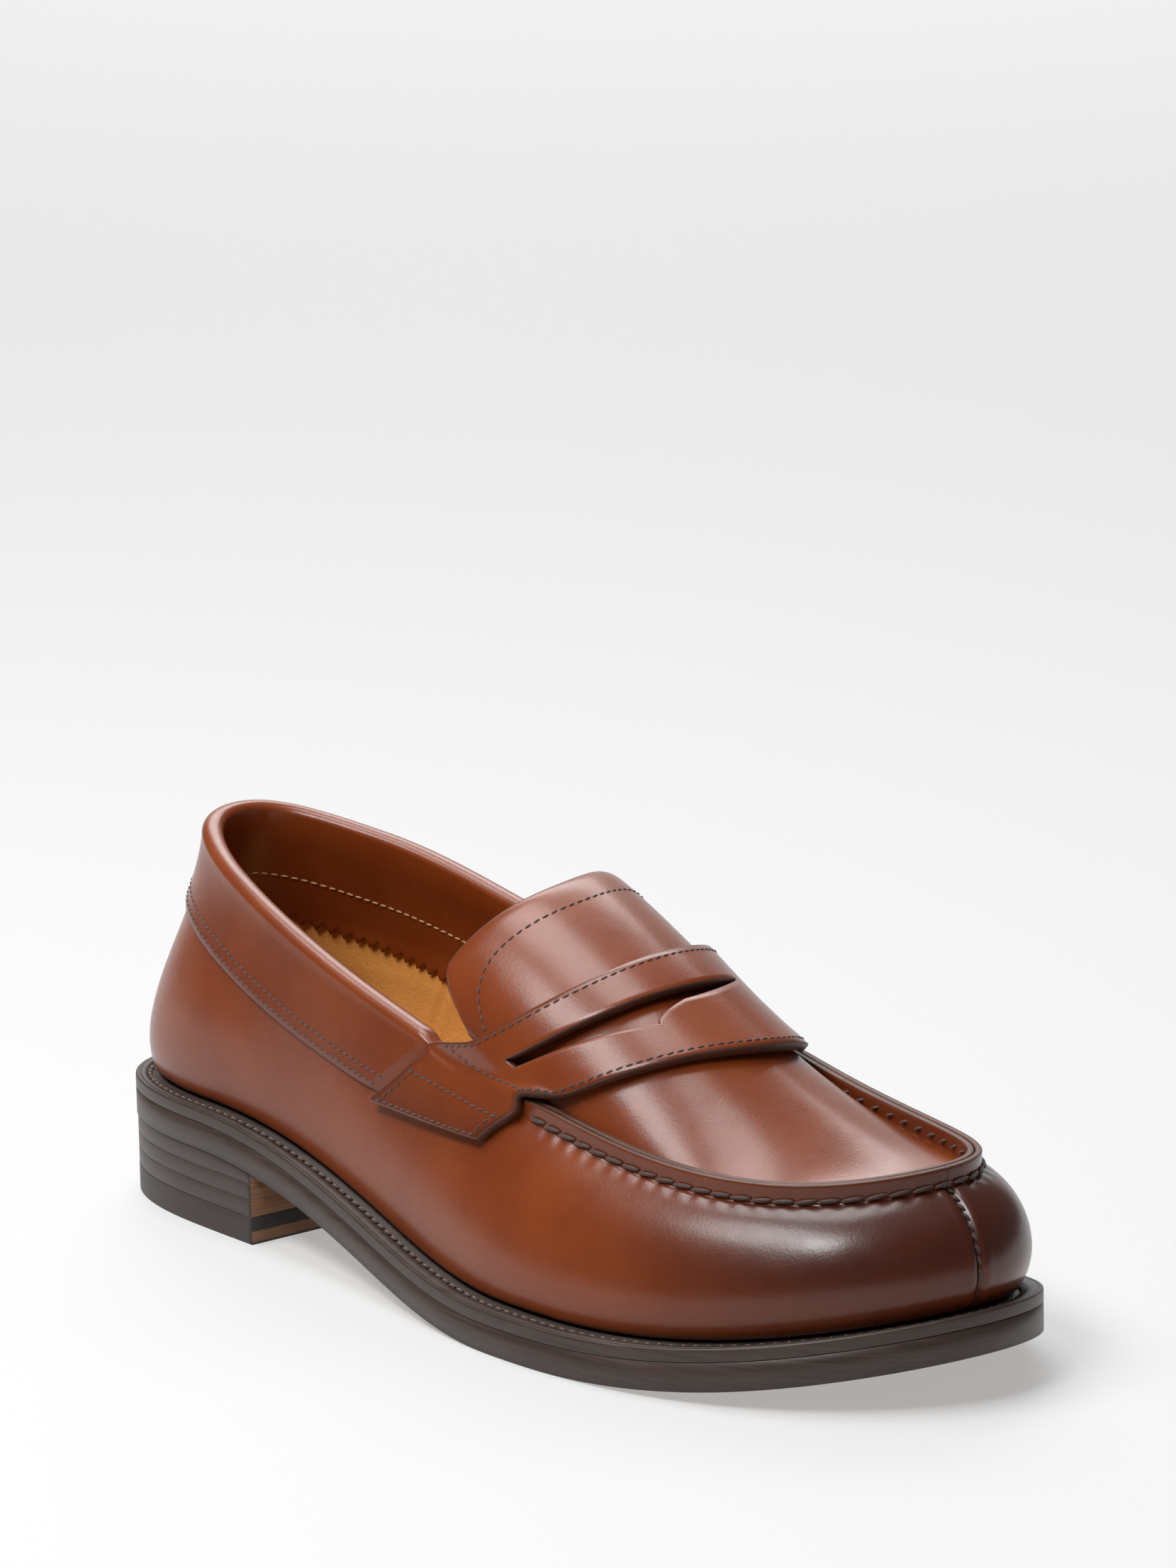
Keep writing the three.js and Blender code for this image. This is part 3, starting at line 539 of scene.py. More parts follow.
def cut_edge(name, colour, roughness=0.5):
    finish = Finish(name)
    layers = finish.noise(420, 3.0, (0.25, 0.25, 2.5))
    shade = finish.blend(layers, tuple(c * 0.55 for c in colour), tuple(c * 1.3 for c in colour))
    normal = finish.bump(layers + finish.noise(1800, 2.0) * 0.3, 0.3, 0.2)
    return finish.feed(Base_Color=shade, Normal=normal,
                       Roughness=finish.noise(300) * 0.2 + (roughness - 0.1))


calf_leather = calf("calf_cognac")
calf_edge = cut_edge("calf_edge_burnished", (0.085, 0.029, 0.015))
print("calf nodes:", len(calf_leather.node_tree.nodes))

# %% [markdown]
# ## Linings, sock and small finishes
# The back lining is suede: short soft fibres, no gloss, and a nap that is lighter where it was
# brushed, with a trace of sheen. The sock is smooth lining leather.

# %% Suede, sock and board
def suede(name, base, light, scale=1.0):
    finish = Finish(name, Sheen_Weight=0.06, Sheen_Roughness=0.5, Specular_IOR_Level=0.15)
    nap = finish.noise(1300 * scale, 4.0)
    brushed = finish.noise(60, 3.0)
    colour = finish.blend((nap * 0.6 + brushed * 0.5).limited(), base, light)
    normal = finish.bump(nap + finish.cells(1900 * scale) * 0.5, 0.5, 0.3)
    return finish.feed(Base_Color=colour, Roughness=brushed * 0.1 + 0.85, Normal=normal)


suede_tan = suede("suede_tan", (0.46, 0.17, 0.032), (0.68, 0.31, 0.07))
sock_leather = suede("sock_leather", (0.40, 0.17, 0.035), (0.56, 0.27, 0.07), 0.6)
fibre_board = suede("fibre_board", (0.22, 0.12, 0.06), (0.36, 0.22, 0.12), 0.5)


def granules(name, dark, light, scale):
    finish = Finish(name)
    cells = finish.cells(scale)
    colour = finish.blend((cells * 1.4).limited(), dark, light)
    return finish.feed(Base_Color=colour, Normal=finish.bump(cells, 0.7, 0.6),
                       Roughness=finish.noise(400) * 0.1 + 0.85)


cork = granules("cork", (0.16, 0.075, 0.03), (0.45, 0.26, 0.12), 600)


def metal(name, colour, roughness):
    finish = Finish(name, Metallic=1.0)
    rub = finish.noise(700, 3.0, (0.2, 1, 1))
    shade = finish.blend(rub, tuple(c * 0.7 for c in colour), colour)
    return finish.feed(Base_Color=shade, Roughness=rub * 0.25 + roughness,
                       Normal=finish.bump(rub, 0.1, 0.1))


steel = metal("shank_steel", (0.55, 0.56, 0.58), 0.25)
brass = metal("nail_brass", (0.70, 0.46, 0.17), 0.2)

# %% [markdown]
# ## Sole edges
# Sole leather is cut, sanded along the edge, stained dark and waxed. Sanding leaves fine lines
# that run along the sole, and the stain is a little worn. The heel's front face is left bare,
# so its layers show: brown leather, a dark rubber layer, brown leather again.

# %% Stained edge, bare lifts, rubber
def stained_edge(name, dark, light, roughness=0.42):
    finish = Finish(name, Coat_Weight=0.04, Coat_Roughness=0.35)
    lines = finish.noise(420, 4.0, (0.12, 0.12, 4.0))
    wear = finish.noise(55, 4.0, (0.6, 0.6, 2.0))
    colour = finish.blend(((lines - 0.5) * 1.4 + wear * 0.7 + 0.1).limited(), dark, light)
    normal = finish.bump(lines + finish.noise(1500, 2.0) * 0.25, 0.14, 0.25)
    return finish.feed(Base_Color=colour, Normal=normal,
                       Roughness=lines * 0.16 + (roughness - 0.06))


edge_stain = stained_edge("edge_stain", (0.018, 0.010, 0.0070), (0.066, 0.037, 0.027))
heel_stain = stained_edge("heel_rubber_edge", (0.020, 0.012, 0.009), (0.050, 0.031, 0.023), 0.5)
bare_lift = stained_edge("bare_lift", (0.10, 0.040, 0.016), (0.26, 0.115, 0.045), 0.55)
welt_fudge = stained_edge("welt_top", (0.018, 0.010, 0.008), (0.055, 0.036, 0.028), 0.45)


def breast_layers(name):
    """The top piece's bare front: a thin dark foot, brown leather, then dark rubber."""
    finish = Finish(name)
    height = finish.node("SeparateXYZ", {}, {0: finish.node("TexCoord", output="Object")}, 2)
    wobble = finish.noise(300, 2.0) * 0.0006
    share = (height + wobble) * (1 / (TOP_PIECE * MM))
    grain = finish.noise(500, 3.0, (1, 0.2, 4.0))
    brown = finish.blend(grain, (0.10, 0.045, 0.02), (0.24, 0.11, 0.045))
    upper = finish.node("ValToRGB", {"stops": [(0.50, (0, 0, 0)), (0.53, (1, 1, 1))]}, {0: share})
    lower = finish.node("ValToRGB", {"stops": [(0.12, (1, 1, 1)), (0.15, (0, 0, 0))]}, {0: share})
    colour = finish.blend(upper, finish.blend(lower, brown, (0.03, 0.02, 0.015)),
                          (0.012, 0.010, 0.010))
    return finish.feed(Base_Color=colour, Roughness=grain * 0.2 + 0.5,
                       Normal=finish.bump(grain, 0.3, 0.2))


breast_face = breast_layers("top_piece_breast")
sole_leather = calf("sole_leather", (0.30, 0.15, 0.07), (0.20, 0.09, 0.04), (0.05, 0.025, 0.015),
                    0.5, 0.1)
rubber = granules("heel_rubber", (0.018, 0.014, 0.012), (0.045, 0.036, 0.030), 1500)

# %% [markdown]
# ## Thread
# Thread is twisted, so it shows slanting ridges along its length. The waxed thread on the upper
# is dark brown, and the thread at the top of the lining is pale.

# %% Thread
def thread(name, dark, light):
    finish = Finish(name, Sheen_Weight=0.2)
    twist = finish.noise(2600, 2.0)
    colour = finish.blend(twist, dark, light)
    return finish.feed(Base_Color=colour, Normal=finish.bump(twist, 0.6, 0.15),
                       Roughness=twist * 0.15 + 0.55)


dark_thread = thread("thread_dark", (0.026, 0.011, 0.008), (0.075, 0.033, 0.022))
pale_thread = thread("thread_pale", (0.30, 0.15, 0.06), (0.55, 0.34, 0.16))

# %% [markdown]
# ## Side panels
# Two panels meet in a seam at the back and in the split seam down the toe. Each is turned in
# under the insole at its foot, and its front edge stands up in the raised seam round the apron.
# The hand stitches pull the wall into small puckers, and the split seam is drawn into a groove.

# %% Apron seam: length along it, ridge height
SEAM_PITCH = 5.4
SEAM_START = 5.2
RIDGE_HEIGHT, RIDGE_LEATHER = 4.5, 1.6
SEAM_INSET = RIDGE_LEATHER * 2 + GAP
seam_stations = np.arange(SEAM_START, STATIONS - SEAM_START + 0.001, 0.005)
seam_steps = np.linalg.norm(np.diff(top_point(seam_stations), axis=0), axis=1)
seam_lengths = np.concatenate([[0], np.cumsum(seam_steps)])


def ridge_height(s):
    return RIDGE_HEIGHT * ramp((from_end(s) - 4.3) / 1.1)


def crown_inset(s):
    return SEAM_INSET * np.maximum(0.2, np.clip((from_end(s) - 4.2) / 1.2, 0, 1))


def pucker(s):
    """From -1 under a stitch to 1 between two stitches of the apron seam."""
    length = np.interp(s, seam_stations, seam_lengths)
    return -np.cos(2 * np.pi * length / SEAM_PITCH) * ramp((from_end(s) - SEAM_START) / 0.2)


def soft_waves(p, size):
    """Slow swells of a hand-lasted surface."""
    x, y, z = p[..., 0] / size, p[..., 1] / size, p[..., 2] / size
    return (np.sin(1.7 * x + 0.9 * z + 0.4) * np.cos(1.3 * y - 0.8 * z)
            + 0.6 * np.sin(3.1 * y + 1.1 * x) * np.cos(2.3 * z + 0.7 * x + 1.0)) / 1.6


print("apron seam:", round(float(seam_lengths[-1])), "mm")


# %% Panels
def panel_shape(s, h):
    """Wall depth from swells, puckers and the split seam."""
    spacing = np.linalg.norm(wall_point(s + 0.01, h) - wall_point(s - 0.01, h), axis=-1) / 0.02
    toe_gap = np.abs(s - TOE) * spacing
    heel_gap = from_end(s) * spacing
    groove = -1.0 * np.exp(-(toe_gap / 0.9) ** 2) + 0.15 * np.exp(-((toe_gap - 2.6) / 1.3) ** 2)
    back_seam = -0.35 * np.exp(-(heel_gap / 0.7) ** 2)
    puckers = 0.13 * pucker(s) * ramp((h - 0.86) / 0.12)
    swell = 0.22 * soft_waves(wall_point(s, h), 16)
    return groove * ramp(h / 0.1) + back_seam + puckers + swell * np.sin(np.pi * h)


def panel_tone(s, h):
    end = from_end(s)
    toe = ramp((end - 5.5) / 1.7) * (0.42 + 0.46 * ramp((h - 0.08) / 0.42))
    # Painted shade: the top of the wall darkens under the raised seam round the apron.
    seam = 0.30 * ramp((h - 0.93) / 0.07) * ramp((end - 4.9) / 0.5)
    feather = 0.35 * (1 - ramp(h / 0.07))
    heel = 0.10 * (1 - ramp(end / 1.2))
    return np.clip(np.maximum(toe, seam) + feather + heel, 0, 0.97)


def side_panel(name, start, end):
    fine = np.arange(SEAM_START, STATIONS - SEAM_START, 0.022)
    coarse = np.arange(0, STATIONS, 0.04)
    toe_rows = TOE + np.linspace(-0.12, 0.12, 41)
    rows = np.concatenate([fine, coarse[(coarse < SEAM_START) | (coarse > STATIONS - SEAM_START)]])
    rows = np.concatenate([rows[np.abs(rows - TOE) > 0.125], toe_rows])
    rows = np.unique(np.concatenate([[start], rows[(rows > start + .004) & (rows < end - .004)],
                                     [end]]))[:, None]
    heights = np.concatenate([np.linspace(0.03, 0.12, 5)[:-1], np.linspace(0.12, 0.8, 30)[:-1],
                              np.linspace(0.8, 0.985, 14)])[None, :]
    ridge = ridge_height(rows)
    lifts = np.linspace(0.0, 1.0, 6)[None, :]
    flat = np.clip(wall_normal(rows, 1.0)[..., 2], 0, 1)
    tucked_out = [outline(rows, o, GAP) for o in (-10, -5.5, -1.0)]
    tucked_in = [outline(rows, o, GAP + LEATHER) for o in (-10, -5.5, -2.8)]
    standing_out = top_point(rows, 0.10 * (1 - lifts), ridge * lifts + 0.25 * (1 - lifts))
    standing_in = top_point(rows, RIDGE_LEATHER, mix(-1.3 * flat, ridge, lifts))
    shape = panel_shape(rows, heights)
    outer = np.concatenate([*tucked_out, wall(rows, heights, shape), standing_out], 1)
    inner = np.concatenate([*tucked_in, wall(rows, heights, shape - LEATHER), standing_in], 1)
    tone = np.concatenate([np.full((len(rows), 3), 0.8), panel_tone(rows, heights),
                           np.broadcast_to(0.30 + 0.35 * ramp((from_end(rows) - 6) / 2),
                                           (len(rows), 6))], 1)
    return sheet(name, outer, inner, [calf_leather, calf_edge], tone=tone, bulge=0.25)


SEAM_JOIN = 0.006
panel_lateral = side_panel("upper_panel_lateral", SEAM_JOIN, TOE - SEAM_JOIN)
panel_medial = side_panel("upper_panel_medial", TOE + SEAM_JOIN, STATIONS - SEAM_JOIN)
for piece, node in ((panel_lateral, "side_panel_lateral"), (panel_medial, "side_panel_medial")):
    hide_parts(node)
    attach(piece, "shoe")

# %% [markdown]
# ## Apron and tongue
# The apron is the plug over the toes. Its edge turns up and is sewn to the standing edge of the
# panels. The tongue continues it up the instep behind the strap, with a rounded free end.

# %% Strap and tongue outlines, as stations across the arch
BUTT = 0.04                     # stations between the strap's rear edge and a piece that meets it
VAMP_START = 4.25               # first row of the apron and of the front lining


def strap_rear(v):
    q = 2 * np.abs(v - 0.5)
    return 5.23 - 0.86 * q ** 2 - 0.28 * q ** 14


def strap_front(v):
    crest = 0.56
    near = 5.97 - 0.86 * np.maximum(0, (crest - v) / crest) ** 1.8
    far = 5.97 - 0.59 * np.maximum(0, (v - crest) / (1 - crest)) ** 1.8
    return np.where(v < crest, near, far)


def vamp_station(v, rows):
    """The station where a row of the apron or the front lining crosses the arch."""
    return mix(strap_rear(v) + BUTT, TOE, (rows - VAMP_START) / (TOE - VAMP_START))


def tongue_end(v):
    q = 2 * np.abs(v - 0.5)
    top = 4.3 - 0.55 * ((q ** 2 + 0.03) ** 0.65 - 0.03 ** 0.65)
    return top + 0.5 * np.clip((q - 0.68) / 0.2, 0, 1) ** 2.6


# %% Apron
def apron_sheet():
    rows = np.concatenate([np.linspace(VAMP_START, 7.4, 150)[:-1],
                           np.linspace(7.4, TOE, 50)])[:, None]
    v = np.concatenate([[0.012, 0.022, 0.034], np.linspace(0.05, 0.95, 80),
                        [0.966, 0.978, 0.988]])[None, :]
    along = vamp_station(v, rows)
    surface = arch_point(along, v, SEAM_INSET)
    fade = ramp((TOE - along) / 0.6)
    swell = 0.35 * soft_waves(surface, 13) * np.sin(np.pi * v) * fade
    pull = 0.25 * pucker(along) * np.exp(-(np.minimum(v, 1 - v) / 0.03) ** 2) * fade
    up = swell + pull
    ridge = ridge_height(rows)
    lifts = np.linspace(1.0, 0.0, 6)[None, :]
    flange_out = lambda r: top_point(r, SEAM_INSET - 0.1 * (1 - lifts), mix(0.35, ridge, lifts))
    flange_in = lambda r: top_point(r, RIDGE_LEATHER + GAP, mix(-1.2, ridge, lifts))
    far = STATIONS - rows
    outer = np.concatenate([flange_out(rows), arch(along, v, up, SEAM_INSET),
                            flange_out(far)[:, ::-1]], 1)
    inner = np.concatenate([flange_in(rows), arch(along, v, up - LEATHER, SEAM_INSET),
                            flange_in(far)[:, ::-1]], 1)
    edge = np.minimum(v, 1 - v)
    # Painted shade along both sides of the apron, in the crease at the foot of the raised seam.
    seam_foot_shade = np.exp(-(edge / 0.05) ** 2) * 0.4
    toe = 0.45 * ramp((along - 7.1) / 0.9)
    tone = np.clip(np.maximum(seam_foot_shade, toe) + 0.05, 0, 0.9)
    rim_tone = np.broadcast_to(0.30 + 0.3 * ramp((rows - 6.4) / 1.6), (len(rows), 6))
    tone = np.concatenate([rim_tone, tone, rim_tone], 1)
    return sheet("apron_plug", outer, inner, [calf_leather, calf_edge], tone=tone, bulge=0.25)


apron = apron_sheet()
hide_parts("apron")
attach(apron, "shoe")


# %% Tongue and its lining
TONGUE_EDGE = 0.06              # side edge of the tongue, as a share of the arch
TONGUE_INSET = crown_inset(np.array(4.6))


def tongue_sheet(name, up, thickness, edge, materials):
    v = np.linspace(edge, 1 - edge, 76)[None, :]
    t = np.linspace(0, 1, 40)[:, None]
    s = mix(tongue_end(v) + (edge - TONGUE_EDGE), strap_rear(v) - BUTT, t)
    curl = -0.8 * np.exp(-t / 0.05)
    outer = arch(s, v, up + curl, TONGUE_INSET)
    inner = arch(s, v, up + curl - thickness, TONGUE_INSET)
    tone = 0.35 * np.exp(-t / 0.035) + 0.3 * np.exp(-(np.minimum(v, 1 - v) - edge) / 0.02)
    return sheet(name, outer, inner, materials, tone=np.clip(tone, 0, 0.6), bulge=0.35)


tongue = tongue_sheet("tongue_leather", 0, LEATHER, TONGUE_EDGE, [calf_leather, calf_edge])
tongue_back = tongue_sheet("tongue_lining_suede", -LEATHER - GAP, LINING, 0.075, [suede_tan])
for piece, node, slot in ((tongue, "tongue", "upper_leather"),
                          (tongue_back, "tongue_lining", "lining_leather")):
    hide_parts(node)
    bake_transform(piece)

# %% [markdown]
# ## Saddle strap
# One strap runs from a tab on the outer wall, over the raised seam and the instep, to a tab on
# the inner wall. It has one thickness throughout. The slot is cut through it, with a
# pointed notch in its front lip. The grid's columns bend along the slot's two lips, so the cut
# follows whole cells and its edge comes out clean.

# %% Strap surface
STRAP_THICKNESS, STRAP_LIFT = 2.6, 0.9
TAB_STANDOFF = 0.5              # space between the tabs and the side panels
RIDGE_CLEARANCE = 1.2           # space between the strap and the top of the ridge
RIDGE_BLEND = 2                 # how softly the strap comes down from the ridge
TAB_LEAN, TAB_DROP = (0.36, 0.24), (0.42, 0.26)
OVER_START, OVER_END, OVER_STEPS = 0.06, 0.94, 18
TAB_POINTS = 5
LAST_ROW = 2 * TAB_POINTS + OVER_STEPS


def strap_controls(share, up):
    """Control points across the shoe at one share between rear and front edge."""
    at = lambda v: mix(strap_rear(v), strap_front(v), share)
    halves = []
    for medial in (False, True):
        s0 = float(at(np.array(1.0 if medial else 0.0)))
        w = np.array([1, 0.66, 0.33])
        s = s0 - mix(*TAB_LEAN, share) * w
        place = STATIONS - s if medial else s
        tab = wall(place, 1 - mix(*TAB_DROP, share) * w, TAB_STANDOFF + up)
        here = STATIONS - s0 if medial else s0
        ridge = float(ridge_height(np.array(s0)))
        shoulder = np.stack([top_point(here, -0.8 - up, 0.5 * ridge),
                             top_point(here, -0.2 - 0.7 * up, ridge + 1 + 0.5 * up)])
        halves.append(np.concatenate([tab, shoulder]))
    v = np.linspace(OVER_START, OVER_END, OVER_STEPS + 1)
    s = at(v)
    over = arch(s, v, STRAP_LIFT + up, crown_inset(s))
    beside = np.where(v < 0.5, s, STATIONS - s)
    ridge = top_point(beside, 0, ridge_height(s))[:, 2] + RIDGE_CLEARANCE + up
    over[:, 2] = (over[:, 2] + ridge + np.hypot(over[:, 2] - ridge, RIDGE_BLEND)) / 2
    return np.concatenate([halves[0], over, halves[1][::-1]])


def catmull(points, t):
    """A smooth curve through control points, t counted in points."""
    n = len(points)
    i = np.clip(np.floor(t).astype(int), 0, n - 2)
    u = (t - i)[:, None]
    p = [points[np.clip(i + k, 0, n - 1)] for k in (-1, 0, 1, 2)]
    return 0.5 * (2 * p[1] + (p[2] - p[0]) * u
                  + (2 * p[0] - 5 * p[1] + 4 * p[2] - p[3]) * u ** 2
                  + (3 * p[1] - p[0] - 3 * p[2] + p[3]) * u ** 3)


def row_at(v):
    """Row of the strap that crosses the arch at v."""
    return TAB_POINTS + (v - OVER_START) / (OVER_END - OVER_START) * OVER_STEPS


# %% Slot and strap mesh
SLOT_ENDS, SLOT_NOTCH, REAR_LIP = (0.09, 0.71), 0.40, 0.36


def front_lip(v):
    near = 0.50 + 0.16 * np.clip((v - SLOT_ENDS[0]) / (SLOT_NOTCH - SLOT_ENDS[0]), 0, 1) ** 1.6
    far = 0.66 - 0.17 * np.clip((v - SLOT_NOTCH) / 0.09, 0, 1) ** 0.5
    far = far - 0.11 * np.clip((v - 0.48) / (SLOT_ENDS[1] - 0.48), 0, 1) ** 1.5
    return np.where(v < SLOT_NOTCH, near, far)


def strap_sheet():
    first, last, notch = (row_at(v) for v in (*SLOT_ENDS, SLOT_NOTCH))
    rows = np.concatenate([np.linspace(0, LAST_ROW, 230), notch + np.linspace(-0.5, 1.4, 25)])
    rows = rows[(np.abs(rows - first) > 0.03) & (np.abs(rows - last) > 0.03)]
    rows = np.unique(np.concatenate([rows, [first, last, notch]]))
    v_of = OVER_START + (rows - TAB_POINTS) / OVER_STEPS * (OVER_END - OVER_START)
    rear_cols, slot_cols, front_cols = 9, 4, 13
    lip = np.where((rows >= first) & (rows <= last), front_lip(v_of), 0.50)
    lip = np.where(rows > last, front_lip(np.array(SLOT_ENDS[1])), lip)
    fade = ramp((rows - last) / 3)
    lip = np.where(rows > last, mix(lip, 0.50, fade), lip)
    shares = np.stack([np.concatenate([np.linspace(0, REAR_LIP, rear_cols)[:-1],
                                       np.linspace(REAR_LIP, k, slot_cols)[:-1],
                                       np.linspace(k, 1, front_cols)]) for k in lip])
    levels = np.linspace(0, 1, 33)
    grids = []
    for up in (STRAP_THICKNESS, 0):
        lines = np.stack([catmull(strap_controls(k, up), rows) for k in levels], 1)
        where = shares * (len(levels) - 1)
        low = np.clip(np.floor(where).astype(int), 0, len(levels) - 2)
        u = (where - low)[..., None]
        pick = np.arange(len(rows))[:, None]
        grids.append(mix(lines[pick, low], lines[pick, low + 1], u))
    keep = np.ones((len(rows) - 1, shares.shape[1] - 1), bool)
    inside = (rows[:-1] >= first - 1e-6) & (rows[1:] <= last + 1e-6)
    keep[np.ix_(inside, range(rear_cols - 1, rear_cols + slot_cols - 2))] = False
    edge = np.minimum(shares, 1 - shares)
    end = np.minimum(rows, LAST_ROW - rows)[:, None]
    tone = 0.45 * np.exp(-edge / 0.02) + 0.5 * np.exp(-end / 2.2)
    return sheet("strap_saddle", *grids, [calf_leather, calf_edge], keep=keep,
                 tone=np.clip(tone, 0, 0.7), bulge=0.3)


strap = strap_sheet()
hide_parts("saddle_strap")
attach(strap, "shoe")

# %% [markdown]
# ## Collar
# The collar binds the top line. It is one strip: a short leg outside, a soft roll over the top
# and a long leg inside. The inside leg ends in a pinked edge, cut with zig-zag shears so that
# it doesn't fray or make a ridge against the foot.

# %% Collar
COLLAR_LEATHER, COLLAR_BAND, COLLAR_FACING, COLLAR_END = 1.2, 18, 27, 4.2
PINK_PITCH, PINK_DEPTH = 4.6, 2.4
SHARE_PER_DEPTH = 0.92          # turns depth over rise into the wall's own height, 0 to 1


def lining_inset(s, h):
    with_counter = 1 - ramp((from_end(s) - 2.6) / 0.8)
    below = np.clip((0.6 - h) / 0.18, 0, 1)
    return LEATHER + GAP + (COUNTER + GAP) * with_counter * below


def depth_to_h(s, depth):
    rise = wall_point(s, 1.0)[..., 2] - wall_point(s, 0.0)[..., 2]
    return 1 - depth / rise * SHARE_PER_DEPTH


def collar_outer(s, t, up):
    """The outside leg, t from 0 at its lower edge to 1 at the top line."""
    low = depth_to_h(s, COLLAR_BAND)
    h = mix(low, 1.0, t)
    near_end = ramp((from_end(s) - 3.4) / 0.6)
    lean = np.where(s < TOE, -1, 1) * TAB_LEAN[0] * near_end
    down = np.clip((1 - h) / TAB_DROP[0], 0, 1)
    return wall(s + lean * down, h, up)


def zigzag(length, pitch):
    return np.abs((length / pitch) % 1 - 0.5) * 2


def collar_sheet():
    spread = np.arange(STATIONS - COLLAR_END, STATIONS + COLLAR_END + 1e-6, 0.005)
    steps = np.linalg.norm(np.diff(top_point(spread % STATIONS), axis=0), axis=1)
    length = np.concatenate([[0], np.cumsum(steps)])
    teeth = round(length[-1] / PINK_PITCH)
    pitch = length[-1] / teeth
    marks = np.linspace(0, length[-1], teeth * 4 + 1)
    s = np.interp(marks, length, spread)
    s = np.where(s >= STATIONS, s - STATIONS, s)[:, None]
    tooth = zigzag(marks, pitch)[:, None] * PINK_DEPTH
    half_gap = (LEATHER + GAP + LINING) / 2
    angles = np.linspace(0, np.pi, 13)[None, :]
    outer_t = np.linspace(0, 1, 15)[:-1][None, :]
    inner_u = np.linspace(0, 1, 18)[1:][None, :]
    inner_h = np.maximum(0.40, depth_to_h(s, COLLAR_FACING + tooth))
    grids = []
    full = 1 - ramp((from_end(s) - 3.9) / 0.16)
    for thick in (1, 0):
        leg = collar_outer(s, outer_t, 0.08 + 0.17 * full + (0.2 + 0.7 * full) * thick)
        half = half_gap + GAP * full + COLLAR_LEATHER * thick * (0.15 + 0.65 * full)
        rise = 0.2 + 0.9 * full + COLLAR_LEATHER * thick * (0.2 + 0.8 * full)
        roll = top_point(s, half_gap - half * np.cos(angles), 0.2 + rise * np.sin(angles))
        h = mix(0.95, inner_h, inner_u)
        past = LINING + 1.5 * GAP + COLLAR_LEATHER * thick
        inside = wall(s, h, -lining_inset(s, h) - past)
        grids.append(np.concatenate([leg, roll, inside], 1))
    tone = np.concatenate([0.14 + 0.25 * np.exp(-outer_t / 0.06) + 0 * s,
                           np.zeros((len(s), 13)),
                           np.broadcast_to(0.10, (len(s), 17))], 1)
    return sheet("collar_band", *grids, [calf_leather, calf_edge], tone=tone, bulge=0.2)


collar = collar_sheet()
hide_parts("collar")
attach(collar, "shoe")

# %% [markdown]
# ## Linings and sock
# The quarter linings are soft suede, joined by an upright seam on each side. The front lining
# runs up both walls and under the apron, and the sock covers the insole.

# %% Linings
LINING_SEAM = 2.55


def quarter_lining(name, start, end):
    s = np.linspace(start, end, 130)[:, None]
    h = np.concatenate([np.linspace(0.06, 0.42, 12)[:-1], np.linspace(0.42, 0.6, 10)[:-1],
                        np.linspace(0.6, 0.98, 18)])[None, :]
    gap = np.abs(from_end(s) - LINING_SEAM)
    seam = 0.45 * np.exp(-(gap / 0.018) ** 2) - 0.25 * np.exp(-((gap - 0.06) / 0.03) ** 2)
    depth = lining_inset(s, h)
    swell = 0.12 * soft_waves(wall_point(s, h), 9) - 0.12
    outer = wall(s, h, -depth)
    inner = wall(s, h, -depth - LINING + seam - 0.15 + swell * 0.5)
    return sheet(name, outer, inner, [suede_tan], bulge=0.15)


def front_lining():
    rows = np.linspace(VAMP_START, TOE, 90)[:, None]
    h = np.linspace(0.08, 0.76, 16)[None, :]
    v = np.linspace(0.05, 0.95, 40)[None, :]
    depth = LEATHER + COUNTER + 2 * GAP
    along = vamp_station(v, rows)
    grids = []
    for extra in (0, LINING):
        near = wall(rows, h, -depth - extra)
        over = arch(along, v, -LEATHER - 3 * GAP - extra, SEAM_INSET + 2 * GAP)
        far = wall(STATIONS - rows, h, -depth - extra)[:, ::-1]
        grids.append(np.concatenate([near, over, far], 1))
    return sheet("front_lining", *grids, [suede_tan], bulge=0.1)


lining_lateral = quarter_lining("lining_suede_lateral", SEAM_JOIN, 4)
lining_medial = quarter_lining("lining_suede_medial", STATIONS - 4, STATIONS - SEAM_JOIN)
lining_front = front_lining()
for piece, node in ((lining_lateral, "quarter_lining_lateral"),
                    (lining_medial, "quarter_lining_medial"), (lining_front, "vamp_lining")):
    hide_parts(node)
    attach(piece, "shoe")


# %% Plates: sock, outsole, heel
def plate(name, inset, low, high, materials, rows=120, cols=24, bulge=0.3, square=0.5):
    """A flat-lying piece between matching stations of the outline, closed at heel and toe."""
    s = np.linspace(0, TOE, rows)[:, None]
    t = np.linspace(0, 1, cols)[None, :]
    grids = []
    for level in (high, low):
        start, end = outline(s, -inset(s)), outline(STATIONS - s, -inset(s))
        p = mix(start, end, t[..., None])
        p[..., 2] = welt_top(p[..., 0]) + level
        grids.append(p)
    return sheet(name, *grids, materials, bulge=bulge, square=square)


INSOLE_INSET = LEATHER + COUNTER + LINING + 3 * GAP + 0.4
SOCK_LOW = GAP + LEATHER + GAP + INSOLE_THICKNESS + GAP
sock = plate("sock_leather_cover", lambda s: INSOLE_INSET + 0.4 + 0 * s, SOCK_LOW,
             SOCK_LOW + SOCK_THICKNESS, [sock_leather], bulge=0.2)
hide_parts("sock_liner")
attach(sock, "shoe")

# %% [markdown]
# ## Welt and sole
# The welt is a strip sewn round the upper. Next to the upper it is pressed into a narrow dark
# channel where the stitches lie. Outside that is a flat ledge with a fine line near its rim.
# The outsole is cut flush with the welt and both edges are rounded slightly.

